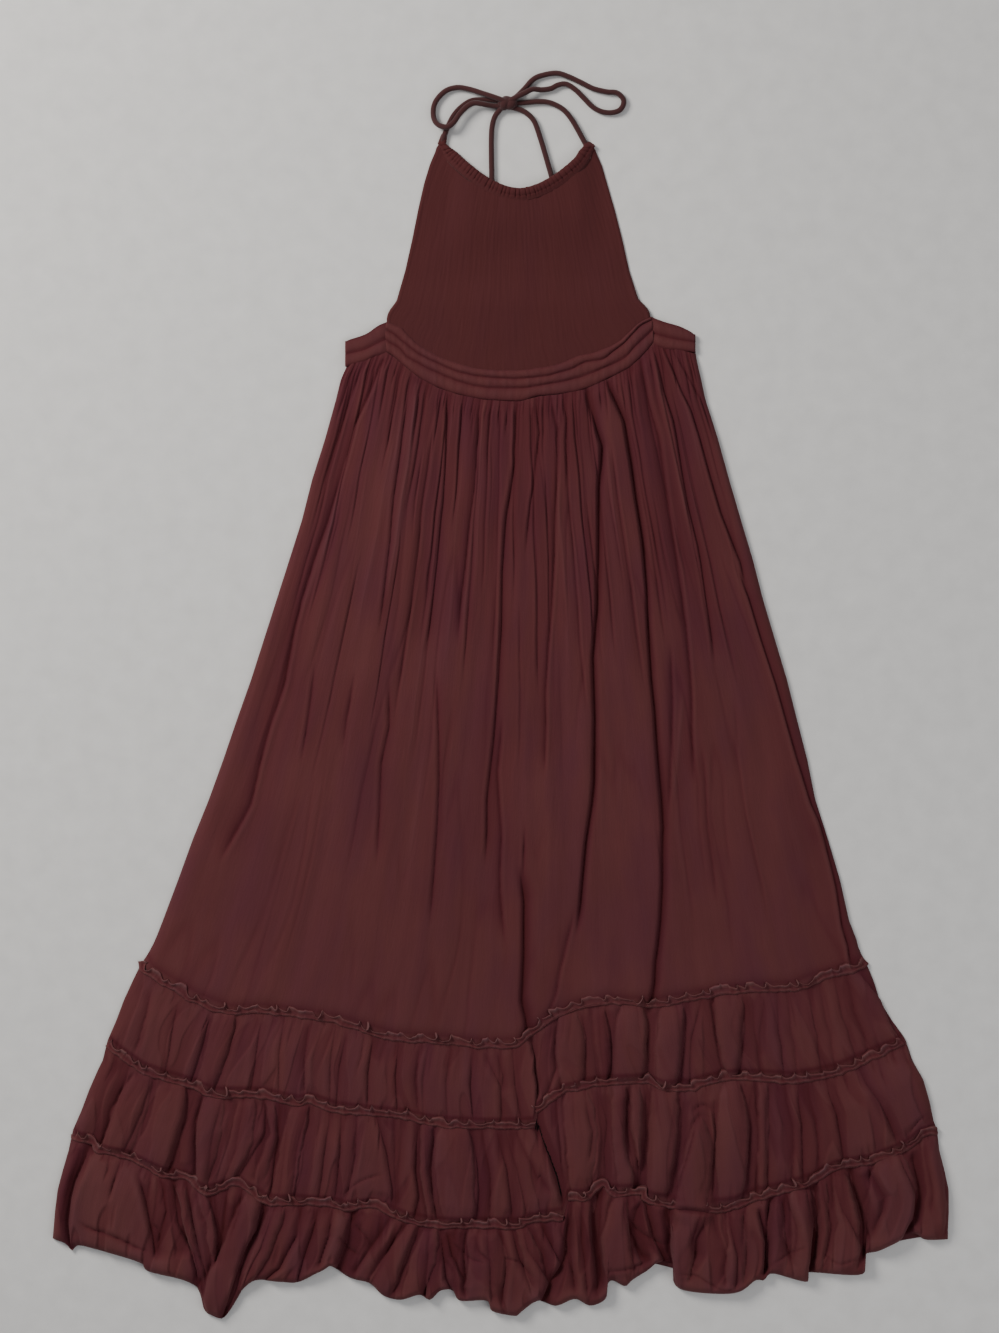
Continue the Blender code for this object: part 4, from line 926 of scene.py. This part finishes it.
def line_distance(x, y, points):
    """Distance to a line of points, and how far along it, 0 to 1, the nearest place is."""
    best, share = np.full(x.shape, 1e9), np.zeros(x.shape)
    start = walk(points)
    for a, b, first, last in zip(points, points[1:], start, start[1:]):
        t = np.clip(((x - a[0]) * (b[0] - a[0]) + (y - a[1]) * (b[1] - a[1])) / (last - first) ** 2, 0, 1)
        gap = np.hypot(x - mix(a[0], b[0], t), y - mix(a[1], b[1], t))
        share = np.where(gap < best, mix(first, last, t) / start[-1], share)
        best = np.minimum(gap, best)
    return best, share


def press_creases(x, y, z, shade, rows):
    for strength, half, *flat in rows:
        gap, share = line_distance(x, y, along(places(*flat), 14))
        power = strength * smooth(share / 0.25) * smooth((1 - share) / 0.25) * (1 - rounded(gap / half))
        z = z - 4.5 * power
        shade = shade * (1 - 0.60 * power)
    return z, shade


def two_edges(y, left, right):
    """x of the left and right edge at each y, and how far y is from the top and from the foot."""
    left, right = places(*left)[::-1], places(*right)[::-1]
    top, low = max(left[-1, 1], right[-1, 1]), min(left[0, 1], right[0, 1])
    return [np.interp(y, edge[:, 1], edge[:, 0]) for edge in (left, right)] + [top - y, y - low]


def lay_puffs(x, y, z, shade, rows):
    for number, (rise, tone, *edges) in enumerate(rows):
        left, right, from_top, from_foot = two_edges(y, *edges)
        left = left + 1.8 * noise(y / 19, 3 * number, 301) + 0.7 * noise(y / 7, 3 * number, 302)
        right = right + 1.8 * noise(y / 19, 3 * number, 303) + 0.7 * noise(y / 7, 3 * number, 304)
        waist = smooth(from_top / 26 + 0.25) * smooth(from_foot / 26 + 0.25)
        middle, half = (left + right) / 2, (right - left) / 2 * mix(0.84, 1, waist)
        inner = half - np.abs(x - middle)
        side = np.clip((x - middle) / half, -1, 1) * (1 if number % 2 else -1)
        ends = smooth((from_top + 3) / 9) * smooth((from_foot + 3) / 9)
        inside = smooth((inner + 1) / 2) * ends
        # beside: a painted shadow on the cloth just outside the puff, with a small dip, darker on one side
        # than the other.
        beside = bell(np.maximum(-inner, 0), 5, 1.3) * (inner < 1) * ends * (0.72 + 0.34 * side)
        body = rounded(np.maximum(inner, 0) / half) * mix(0.55, 1, waist)
        puffed = 6.4 + rise * body + 0.9 * side * body + 0.55 * (z - 9)
        z = mix(z - 2 * beside, puffed, 0.85 * inside)
        # full: the puff's painted shade, with a painted highlight just inside its edges and one side painted
        # darker.
        full = tone - 0.06 + 0.12 * body + 0.16 * bell(inner - 2, 1.2) - 0.05 * side + 0.5 * (shade - 0.8)
        shade = mix(shade * (1 - 0.40 * beside), full, 0.8 * inside)
    return z, shade


def sink_hollows(x, y, z, shade, rows):
    for number, (tone, *edges) in enumerate(rows):
        left, right, from_top, from_foot = two_edges(y, *edges)
        middle = (left + right) / 2 + 1.2 * noise(y / 17, 3 * number, 311)
        inner = (right - left) / 2 - np.abs(x - middle)
        inside = 0.8 * smooth((inner + 1.4) / 3.4) * smooth((from_top + 3) / 9) * smooth((from_foot + 3) / 12)
        z = mix(z, 5.6 + 0.3 * (z - 6), inside)
        # Painted shade: the hollow is darkened towards its tone.
        shade = mix(shade, tone * (0.85 + 0.25 * shade), inside)
    return z, shade


def make_tier(number, upper, lower, folds_table, creases, puffs, hollows, rows, relief):
    last = number == 3
    panel = Panel(upper, rounded_rows(lower) if last else lower, TIER_LEFT, TIER_RIGHT, rows, 940)
    seed = 80 + 20 * number
    folds = named_folds(panel, folds_table, 0.14, 1.25, mix(1.2, 0.7, relief))
    folds += seeded_gathers(seed, 58, (0.14, 0.60), (4, 8), (0.2, 0.6), 0.0035)
    folds += seeded_gathers(seed + 1, 96, (0.05, 0.15), (2.4, 3.4), (0.3, 0.7), 0.001)
    if not last:
        folds += seeded_gathers(seed + 2, 50, (0.06, 0.30), (3.4, 6), (0.2, 0.55), 0.003, upward=True)
    high, shift, ridge, deep = carve(panel, folds, 5, 0.94 if last else 0.99, 0.85)
    s, d = panel.s[None, :], panel.d[:, None]
    across = s * panel.width.mean()
    wave = noise(across / 26, d * 1.6 + 3 * seed, seed + 3)
    broad = noise(across / 60, d * 1.2, seed + 4)
    fine = noise(across / 7 + 0.8 * wave, d * 3, seed + 5)
    stripes = noise(across / 17 + 0.7 * broad, d * 1.3 + 2 * seed, seed + 8)
    valley = smooth((-0.04 - stripes) / 0.16) * smooth(d / 0.08) * (1 if last else smooth((1 - d) / 0.08))
    raised = bell(panel.x - RAISED_PUFF[0], RAISED_PUFF[1], 4)
    over_top, over_foot = raised * (number == 3), raised * (number == 2)
    if last:
        rise = smooth(d / 0.35) * 0.70 + 0.30 * smooth(d / 0.08)
    else:
        rise = 0.22 + 0.78 * smooth(d / 0.40) * smooth((1 - d) / 0.30 + 0.22)
    rise = np.maximum(rise, np.maximum(over_top * smooth(1 - d / 0.5), over_foot * smooth(d / 0.4)))
    tall = TIER_HIGH * relief ** 1.3 * (1 + 0.22 * broad + 0.16 * wave - 0.26 * valley) * rise
    z = 4.4 + (high + 0.35 * ridge) * tall + 0.4 * fine * smooth(d / 0.1) - 4.5 * deep
    shade = high ** 0.85 * (1 - 0.7 * deep) + 0.40 * ridge + 0.05 * fine + 0.16 - 0.26 * valley
    z, shade = lay_puffs(panel.x, panel.y, z, shade, puffs)
    z, shade = sink_hollows(panel.x, panel.y, z, shade, hollows)
    z = mix(TIER_TOP, z, rounded(d * panel.length / 12))
    bottom = 1 if last else mix(0.35, 1, np.maximum(smooth((1 - d) / 0.10), over_foot))
    z = TIER_FOOT + (z - TIER_FOOT) * bottom
    z = mix(z, RAISED_LEVEL, over_top * smooth(1 - d / 0.25))
    z = mix(z, RAISED_LEVEL, over_foot * smooth((d - 0.75) / 0.25))
    dip = (over_top + over_foot) * bell((d if last else 1 - d) * panel.length, 3)
    z = z - STITCH_DIP * dip
    shade = mix(0.98, shade, relief) * (1 - 0.5 * dip)
    to_foot = (1 - d) * panel.length
    if not last:
        shade = shade * (1 - 0.60 * bell(to_foot - DARK_LINE, 2.5) * (1 - over_foot))
    z, shade = press_creases(panel.x, panel.y, z, shade, creases)
    z = EDGE_LOW + (z - EDGE_LOW) * rounded(panel.to_side / (EDGE_ROUND + 3))
    if last:
        z = 1 + (z - 1) * rounded((to_foot + 0.3) / 10)
    z, shade = np.clip(z, 0.9, 20), np.clip(shade, 0, 1.3)
    x = panel.x + shift * high * smooth(d / 0.10) * (1 if last else smooth((1 - d) / 0.12))
    return panel.add(f"tier_{number}_front_cloth", x, z, shade), x[0], z[0]


tiers = [make_tier(number, *row) for number, row in enumerate(TIERS, 1)]

# ---- frill headings

# From the stitch line to the curled tip: share of the heading's depth, height, shade.
HEADING_ROWS = (
    (0, -0.9, 0.80), (0.12, 0.9, 1.04), (0.28, 1.7, 1.02), (0.46, 1.1, 0.66), (0.64, 1.6, 0.86),
    (0.80, 2.9, 1.30), (0.92, 3.8, 1.60), (1, 3.8, 1.50), (1.06, 2.4, 0.30), (1.10, 0.2, 0.05),
)
HEADING_DEPTH = 9.4
HEADING_CURL = 4


def make_heading(name, rows, seed, under_x, under_z):
    """The raw heading above a stitch line: a narrow ribbon whose edge curls like a lettuce leaf."""
    length = walk(rows)[-1]
    count = int(length / 0.8)
    line = along(rows, count)
    walked = np.linspace(0, length, count)
    line[:, 1] += 1.7 * noise(walked / 16, 8, seed + 3) + 1.2 * noise(walked / 8, 3, seed + 7)
    ahead = np.gradient(line, axis=0)
    for k in (0, 1):
        ahead[:, k] = np.convolve(np.pad(ahead[:, k], 8, "edge"), np.ones(17) / 17, "valid")
    ahead = unit(ahead)
    up = np.stack([-ahead[:, 1], ahead[:, 0]], axis=1)
    level = np.minimum(np.interp(line[:, 0], under_x, under_z), 7.5)
    phase = walked / 3.1 + 3.6 * noise(walked / 22, 1, seed) + 1.5 * noise(walked / 8, 2, seed + 1)
    size = np.clip(0.65 + 0.9 * noise(walked / 28, 5, seed + 2), 0.10, 1.5)
    curl = smooth(noise(walked / 36, 6, seed + 5) * 3)
    loose = noise(walked / 24, 7, seed + 4)
    pucker = noise(walked / 3, 9, seed + 6)
    wave = size * (np.sin(phase) + 0.4 * curl * np.sin(2.1 * phase + 1))
    roll = size * (np.cos(phase) + 0.7 * curl * np.cos(2.1 * phase + 1))
    grid = []
    for e, lie, _ in HEADING_ROWS:
        out = -1.6 + (HEADING_DEPTH + 1.7 * loose) * e + HEADING_CURL * wave * e ** 1.7
        side = 2.9 * size * np.cos(phase + 0.7) * e ** 1.5
        high = level + 0.5 + lie + 0.4 * pucker * (1 - min(e, 1)) + 1.4 * roll * e ** 1.6 * (e < 1.03)
        place = line + up * out[:, None] + ahead * side[:, None]
        grid.append(np.column_stack([place, np.maximum(high, level - 0.6)]))
    # Painted highlight along the curled edge and painted shadow under its tip, and painted shade that follows
    # the curls along it.
    row_shade = np.array([row[2] for row in HEADING_ROWS[::-1]])[:, None]
    shade = row_shade * (1 + 0.20 * np.cos(phase) + 0.14 * pucker + 0.08 * loose)
    down = np.linspace(0, 9, len(grid))[:, None]
    thing = add_grid(name, np.array(grid[::-1]), FRILL_CLOTH_PAINTED_LIGHT, walked, down, shade)
    wall = thing.modifiers.new("Cloth", "SOLIDIFY")
    wall.thickness = 0.6 * MM
    return thing


def make_headings():
    """Where a stitch line steps, its heading is in two lengths."""
    made = [make_heading("frill_1_front", SEAM_1, 61, *tiers[0][1:])]
    for number, seam, step in ((2, SEAM_2, 38.5), (3, SEAM_3, 75)):
        for side, rows in (("left", seam[seam[:, 0] < step]), ("right", seam[seam[:, 0] >= step])):
            name = f"frill_{number}_front_{side}"
            made.append(make_heading(name, rows, 51 + 10 * number, *tiers[number - 1][1:]))
    return made


frills = make_headings()

# ---- bib, casing and bands

NECK_X, NECK_LOW, NECK_RISE, NECK_HALF, NECK_POWER = 20, 639, 55, 84, 1.75
NECK_LEFT, NECK_RIGHT = -66, 103
CASING_DEPTH = 13
CASING_HIGH = 5.4
CASING_TURN = 0.09
CASING_MOUTH = (5, 7)     # half widths where the straps leave it, left and right
CORNER_DRAW = 5           # how far the strap draws the right corner in
ARCH_HIGH, ARCH_LEFT, ARCH_RIGHT, ARCH_FADE = 5.3, -32, 86, 36
ARCH_LOW, ARCH_LOW_FADE = 612, 60
WALL = 1.4
BAND_LEVEL = 5.2
BAND_PUFF = 2.5
BAND_ROW = 13             # depth of one stitched channel, for the cloth's own places
BIB_LIFT_FROM, BIB_LIFT_LENGTH = 540, 44
BIB_WIDE = 270
BIB_LEFT = places(
    -76, 692, -79, 682, -85, 668, -92, 645, -99, 614, -106, 579, -114, 543, -124, 508, -136, 482,
)
BIB_RIGHT = places(108, 692, 111, 682, 118, 666, 124, 645, 133, 614, 142, 579, 150, 543, 161, 508, 175, 482)


def neck_arch(x, y):
    """How far the neckline lies above the surface, over the ends of the ties."""
    across = smooth((x - ARCH_LEFT) / ARCH_FADE + 1) * smooth((ARCH_RIGHT - x) / ARCH_FADE + 1)
    return ARCH_HIGH * across * smooth((y - ARCH_LOW) / ARCH_LOW_FADE + 1)


def casing_section(share):
    """Middle of the casing, the direction across it and its half width, turned level at both ends."""
    x = mix(NECK_LEFT, NECK_RIGHT, share)
    reach = np.abs(x - NECK_X) / NECK_HALF
    slope = np.sign(x - NECK_X) * NECK_RISE * NECK_POWER * reach ** (NECK_POWER - 1) / NECK_HALF
    size = np.hypot(1, slope)
    away = np.stack([slope / size, -1 / size], axis=-1)
    centre = np.stack([x, NECK_LOW + NECK_RISE * reach ** NECK_POWER], axis=-1) + away * CASING_DEPTH / 2
    centre[..., 0] -= CORNER_DRAW * smooth((share - 0.88) / 0.12)
    level = 1 - smooth(np.minimum(share, 1 - share) / CASING_TURN)
    sideways = np.stack([np.where(share < 0.5, -1, 1), 0 * x], axis=-1)
    away = unit(mix(away, sideways, level[..., None]))
    return centre, away, mix(CASING_DEPTH / 2, np.where(share < 0.5, *CASING_MOUTH), level)


def make_bib():
    columns, rows = 250, 175
    centre, away, half = casing_section(np.linspace(0, 1, columns))
    top = centre + away * (half * 0.8)[:, None]
    foot = along(BIB_SEAM, columns) + (0, -1)
    down = np.linspace(0, 1, rows)[:, None]
    edges = []
    for side, outline in ((0, BIB_LEFT), (-1, BIB_RIGHT)):
        edge = table_x(outline, mix(top[side, 1], foot[side, 1], down))
        edge = mix(top[side, 0], edge, smooth(down * 45))
        edges.append(mix(edge, foot[side, 0], smooth(down * 8 - 7)))
    left, right = edges
    high, low = [(line[:, 0] - line[0, 0]) / (line[-1, 0] - line[0, 0]) for line in (top, foot)]
    spread = mix(high, low, down)
    x = mix(left, right, spread)
    y = mix(top[:, 1], foot[:, 1], down)
    rise = (BAND_LEVEL - WALL) * smooth((BIB_LIFT_FROM - y) / BIB_LIFT_LENGTH)
    z = WALL + 0.5 + rise + neck_arch(x, y)
    flat_x = (spread - 0.5) * BIB_WIDE
    z = z + 0.20 * noise(flat_x / 3.6, y / 55, 201) + 0.16 * noise(flat_x / 2.4, y / 30, 202)
    z = z + 0.7 * noise(flat_x / 34, y / 60, 203) * smooth((1 - down) * 6)
    edge = np.minimum(x - left, right - x)
    z = z + 0.55 * bell(edge - 2.6, 1.5)
    z = 0.7 + (z - 0.7) * rounded((edge + 0.4) / 3)
    return add_grid("bib_front_cloth", np.stack([x, y, z], axis=-1), BIB_CLOTH, flat_x, -y)


# The casing's section: share of its half width out from the middle, and share of its height.
CASING_PROFILE = (
    (0.10, 0.26), (-0.55, 0.26), (-0.88, 0.30), (-1, 0.42), (-0.97, 0.58), (-0.84, 0.82), (-0.62, 0.97),
    (-0.30, 1), (0.05, 0.93), (0.30, 0.78), (0.42, 0.66), (0.54, 0.66), (0.72, 0.62), (0.92, 0.48),
    (1.22, 0.32), (1.55, 0.14), (0.80, 0.10), (0.12, 0.24),
)
# Where its two ends close round the straps, and how it tapers towards them.
CASING_TIPS = (
    (0, (-67.9, 703.5, 3.1), (0.94, 0.88, 0.80, 0.70)),
    (-1, (100.8, 694.2, 3.1), (0.97, 0.86, 0.66, 0.40)),
)


def make_casing():
    count = 360
    share = np.linspace(0, 1, count)
    centre, away, half = casing_section(share)
    walked = walk(centre)
    rng = np.random.RandomState(31)
    gather = np.ones(count)
    at = 3
    while at < walked[-1] - 2:
        depth, width = rng.uniform(0.25, 0.62), rng.uniform(1.5, 2.6)
        gather *= 1 - depth * (1 - rounded(np.abs(walked - at) / width))
        at += rng.uniform(3.6, 7.4)
    lift = neck_arch(centre[:, 0], centre[:, 1])
    ending = 1 - smooth(np.minimum(share, 1 - share) / CASING_TURN)
    rows, shades = [], []
    for out, up in CASING_PROFILE:
        pit = math.exp(-((out - 0.42) / 0.20) ** 2)
        tall = up * CASING_HIGH * (1 - (1 - gather) * ((0.55 + 0.40 * pit) if up > 0.45 else 0))
        wobble = 1 + 0.05 * noise(walked / 5, 0, 32) * (1 if out < 0 else 0.5)
        reach = mix(out, min(out, 1), ending) * half * wobble * (1 - 0.10 * (1 - gather) * (out < 0))
        rows.append(np.column_stack([centre + away * reach[:, None], lift + 0.3 + tall]))
        shades.append(1 - (1 - gather) * (0.62 + 0.9 * pit) + (0.2 if out > 0.9 else 0))
    grid = np.array(rows).transpose(1, 0, 2)
    ends = []
    for side, tip, taper in CASING_TIPS:
        section = grid[side]
        middle = np.array((*centre[side], section[:, 2].mean()))
        ends.append([mix(middle, np.array(tip), e) + (section - middle) * size
                     for e, size in zip((0.25, 0.5, 0.75, 1), taper)])
    grid = np.concatenate([ends[0][::-1], grid, ends[1]])
    beyond = np.array((3, 6, 9, 12))
    walked = np.concatenate([walked[0] - beyond[::-1], walked, walked[-1] + beyond])
    shade = np.clip(np.array(shades).T, 0.1, 1.1)
    shade = np.concatenate([np.repeat(shade[:1], 4, 0), shade, np.repeat(shade[-1:], 4, 0)])
    round_it = np.linspace(0, 30, grid.shape[1])
    return add_grid("neck_casing_cloth", grid, BIB_CLOTH, walked[:, None], round_it, shade)


STITCH_STEP, STITCH_LENGTH, STITCH_RADIUS = 4.4, 2.9, 0.42


def casing_stitches():
    """The casing's row of thread stitches, each a slim pointed capsule, as one mesh."""
    centre, away, half = casing_section(np.linspace(0.03, 0.97, 400))
    line = centre + away * (0.50 * half)[:, None]
    z = neck_arch(centre[:, 0], centre[:, 1]) + 0.3 + 0.47 * CASING_HIGH
    line = along(np.column_stack([line, z]), 400)
    walked = walk(line)
    at = np.arange(2, walked[-1] - 2, STITCH_STEP)
    turn = (math.tau * np.arange(6) / 6)[:, None]
    stitches = []
    for spot, ahead in zip(*(
        np.stack([np.interp(at, walked, column) for column in rows.T], axis=1)
        for rows in (line, np.gradient(line, axis=0))
    )):
        ahead = unit(ahead)
        side = unit(np.cross(ahead, (0, 0, 1)))
        spoke = (side * np.cos(turn) + np.cross(side, ahead) * np.sin(turn)) * STITCH_RADIUS
        stitches.append(np.array([
            spot + ahead * e * STITCH_LENGTH + spoke * size
            for e, size in ((-0.5, 0.25), (-0.36, 0.9), (0, 1), (0.36, 0.9), (0.5, 0.25))
        ]))
    return add_tubes("casing_stitches", stitches, THREAD)


def channel_puff(t):
    """Fullness of a stitched channel at a share across it."""
    return math.sin(math.pi * t) ** 0.55


def make_band_front():
    columns, steps = 520, 9
    lines = [along(line, columns) for line in (BIB_SEAM, GROOVE_UPPER, GROOVE_LOWER, BAND_LOW)]
    walked = np.linspace(0, walk(BIB_SEAM)[-1], columns)
    end = np.minimum(walked, walked[-1] - walked)
    grid, down, shade = [], [], []
    for number, (upper, lower) in enumerate(zip(lines, lines[1:])):
        for t in np.arange(steps + (number == 2)) / steps:
            puff = channel_puff(t)
            pucker = noise(walked / 6.5, number * 3 + 0.4 * t, 51 + number)
            soft = noise(walked / 26, number * 5, 57 + number)
            z = BAND_LEVEL + 0.2 + BAND_PUFF * puff * (1 + 0.16 * soft) + 0.42 * pucker * puff
            if number == 2:
                z = z - 0.5 * t
            row = mix(upper, lower, t)
            row[:, 1] += 0.5 * noise(walked / 14, number + t, 63)
            z = 5 + (z - 5) * rounded((end + 0.6) / 2.6)
            grid.append(np.column_stack([row, z]))
            down.append(BAND_ROW * (number + t))
            shade.append(0.38 + 0.62 * puff + 0.10 * pucker)
    turned = (0, 0, WALL)
    grid = np.array([grid[0] - turned] + grid + [grid[-1] - turned])
    down = np.array(down[:1] + down + down[-1:])[:, None]
    shade = np.array(shade[:1] + shade + shade[-1:])
    return add_grid("waistband_front_cloth", grid, BAND_CLOTH, walked, down, shade)


# Each flap: which way its fold turns in x, then its upper edge, middle line and lower edge, from the
# front band out to the fold.
FLAPS = (
    (-1,
     places(172, 489, 190, 482, 210, 476, 228, 467),
     places(174, 470, 190, 465, 208, 461, 228, 458),
     places(174, 458, 190, 450, 210, 448, 228, 446)),
    (1,
     places(-132, 483, -146, 477, -161, 467, -185, 459),
     places(-130, 465, -146, 457, -163, 449, -185, 444),
     places(-131, 444, -149, 441, -162, 435, -185, 429)),
)
FLAP_RADIUS = 2.9


def make_band_back():
    """The back band crosses behind and folds round both sides to meet the front band."""
    columns, steps = 620, 8
    grid, across, down, shade = [], [], [], []
    for number in (0, 1):
        for t in np.arange(steps + number) / steps:
            puff = channel_puff(t)
            sides = []
            for inward, *lines in FLAPS:
                flap = mix(along(lines[number], 10), along(lines[number + 1], 10), t)
                path = []
                for spot, e in zip(flap[:-1], np.linspace(0, 0.93, 9)):
                    lift = mix(-1.2, 0.3, min(1, e * 5))
                    lift += BAND_PUFF * puff * (1 - 0.35 * e) * min(1, 0.2 + e * 5)
                    path.append(np.array((*spot, BAND_LEVEL + lift)))
                top = path[-1][2]
                for angle in np.linspace(0, math.pi, 9)[1:]:
                    path.append(np.array((
                        flap[-1, 0] + inward * FLAP_RADIUS * (1 - math.sin(angle)), flap[-1, 1],
                        mix(top, 1, (1 - math.cos(angle)) / 2),
                    )))
                sides.append(path)
            right, left = sides
            behind = [mix(right[-1], left[-1], e) for e in np.linspace(0, 1, 60)[1:-1]]
            line = along(right + behind + left[::-1], columns)
            walked = np.linspace(0, walk(line)[-1], columns)
            line[:, 2] += 0.30 * noise(walked / 6.5, number + 0.4 * t, 81) * puff * (line[:, 2] > 3)
            grid.append(line)
            across.append(walked)
            down.append([BAND_ROW * (number + t)])
            shade.append([0.38 + 0.62 * puff])
    return add_grid("waistband_back_cloth", np.array(grid), BAND_CLOTH, across, down, shade)


bib = make_bib()
casing = make_casing()
stitches = casing_stitches()
band_front = make_band_front()
band_back = make_band_back()

# ---- backs: they lie flat on the surface, with a few creases pressed into them

BACK_WAIST = places(-185, 429, 228, 447)
BACK_HEM = places(
    -530, -597, -480, -606, -415, -630, -355, -646, -250, -640, -190, -636, -125, -652, -60, -650, 0, -664,
    60, -660, 120, -648, 172, -632, 255, -652, 330, -636, 405, -632, 440, -612, 526, -597,
) + (0, 5)


def make_back(name, upper, lower, left, right, rows, columns, seed, count):
    panel = Panel(upper, lower, left, right, rows, columns)
    rng = np.random.RandomState(seed)
    folds = []
    for k in range(count):
        s = (k + 0.5 + rng.uniform(-0.4, 0.4)) / count
        d = np.array([-0.05, rng.uniform(0.3, 0.7), rng.uniform(0.75, 1.1)])
        folds.append((rng.uniform(0.4, 1), rng.uniform(-0.6, 0.6), rng.uniform(4, 8),
                      s + np.cumsum(rng.uniform(-0.01, 0.01, 3)), d, 0.1, 0.2))
    folds += seeded_gathers(seed + 1, 2 * count, (0.10, 0.35), (3, 5), (0.4, 0.9))
    high, shift, _, _ = carve(panel, folds, 2)
    z = 0.5 + 1.5 * (1 - high)
    z = 1.5 + (z - 1.5) * rounded((panel.to_side + 0.2) / 5)
    return panel.add(name, panel.x + shift * (1 - high), z, 0.4 + 0.6 * high, -1)


backs = [
    make_back("skirt_back_cloth", BACK_WAIST, SEAM_1, SKIRT_LEFT, SKIRT_RIGHT, 70, 200, 301, 22),
    make_back("tier_1_back_cloth", SEAM_1, SEAM_2, TIER_LEFT, TIER_RIGHT, 24, 260, 311, 40),
    make_back("tier_2_back_cloth", SEAM_2, SEAM_3, TIER_LEFT, TIER_RIGHT, 24, 260, 321, 44),
    make_back("tier_3_back_cloth", SEAM_3, BACK_HEM, TIER_LEFT, TIER_RIGHT, 24, 260, 331, 48),
]

# ---- floor and light


def make_stage():
    bpy.ops.mesh.primitive_plane_add(size=9, location=(0, 0, -0.0004))
    floor = bpy.context.object
    floor.name = "floor"
    floor.data.materials.append(FLOOR)


def area_light(name, place, size, power, colour):
    """A round light that faces the dress."""
    data = bpy.data.lights.new(name, "AREA")
    data.shape = "DISK"
    data.size = size
    data.energy = power
    data.color = colour
    light = linked(bpy.data.objects.new(name, data))
    light.location = place
    light.rotation_euler = (-Vector(place)).to_track_quat("-Z", "Y").to_euler()


make_stage()
area_light("key", (-1.9, 1.7, 1.8), 1.2, 92, (1, 0.98, 0.95))
area_light("fill", (1.9, -1, 2.4), 2.4, 22, (0.96, 0.98, 1))
world = bpy.data.worlds.new("studio")
bpy.context.scene.world = world
world.use_nodes = True
world.node_tree.nodes["Background"].inputs["Color"].default_value = (0.92, 0.94, 1, 1)
world.node_tree.nodes["Background"].inputs["Strength"].default_value = 0.40

# ---- what each piece is, rides on and stands for

PIECES = (
    (tie_left, "tie_cloth", "neck_strap_left", "bow_loop_right", "tie_end_left"),
    (tie_right, "tie_cloth", "neck_strap_right", "bow_loop_left", "tie_end_right"),
    (knot_core, "tie_cloth", "bow_knot"),
    (knot_band, "tie_cloth"),
    (skirt, "cloth", "skirt_front"),
    *((thing, "cloth", thing.name.replace("_cloth", "")) for thing, _, _ in tiers),
    *((thing, "cloth") for thing in frills),
    (bib, "bib_cloth", "bib_front"),
    (casing, "bib_cloth", "neck_casing"),
    (stitches, "bib_cloth"),
    (band_front, "cloth", "waistband_front"),
    (band_back, "cloth", "waistband_back"),
    *((thing, "cloth", thing.name.replace("_cloth", "")) for thing in backs),
)
for thing, slot, *nodes in PIECES:
    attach(thing, "root")
    if nodes:
        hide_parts(*nodes)
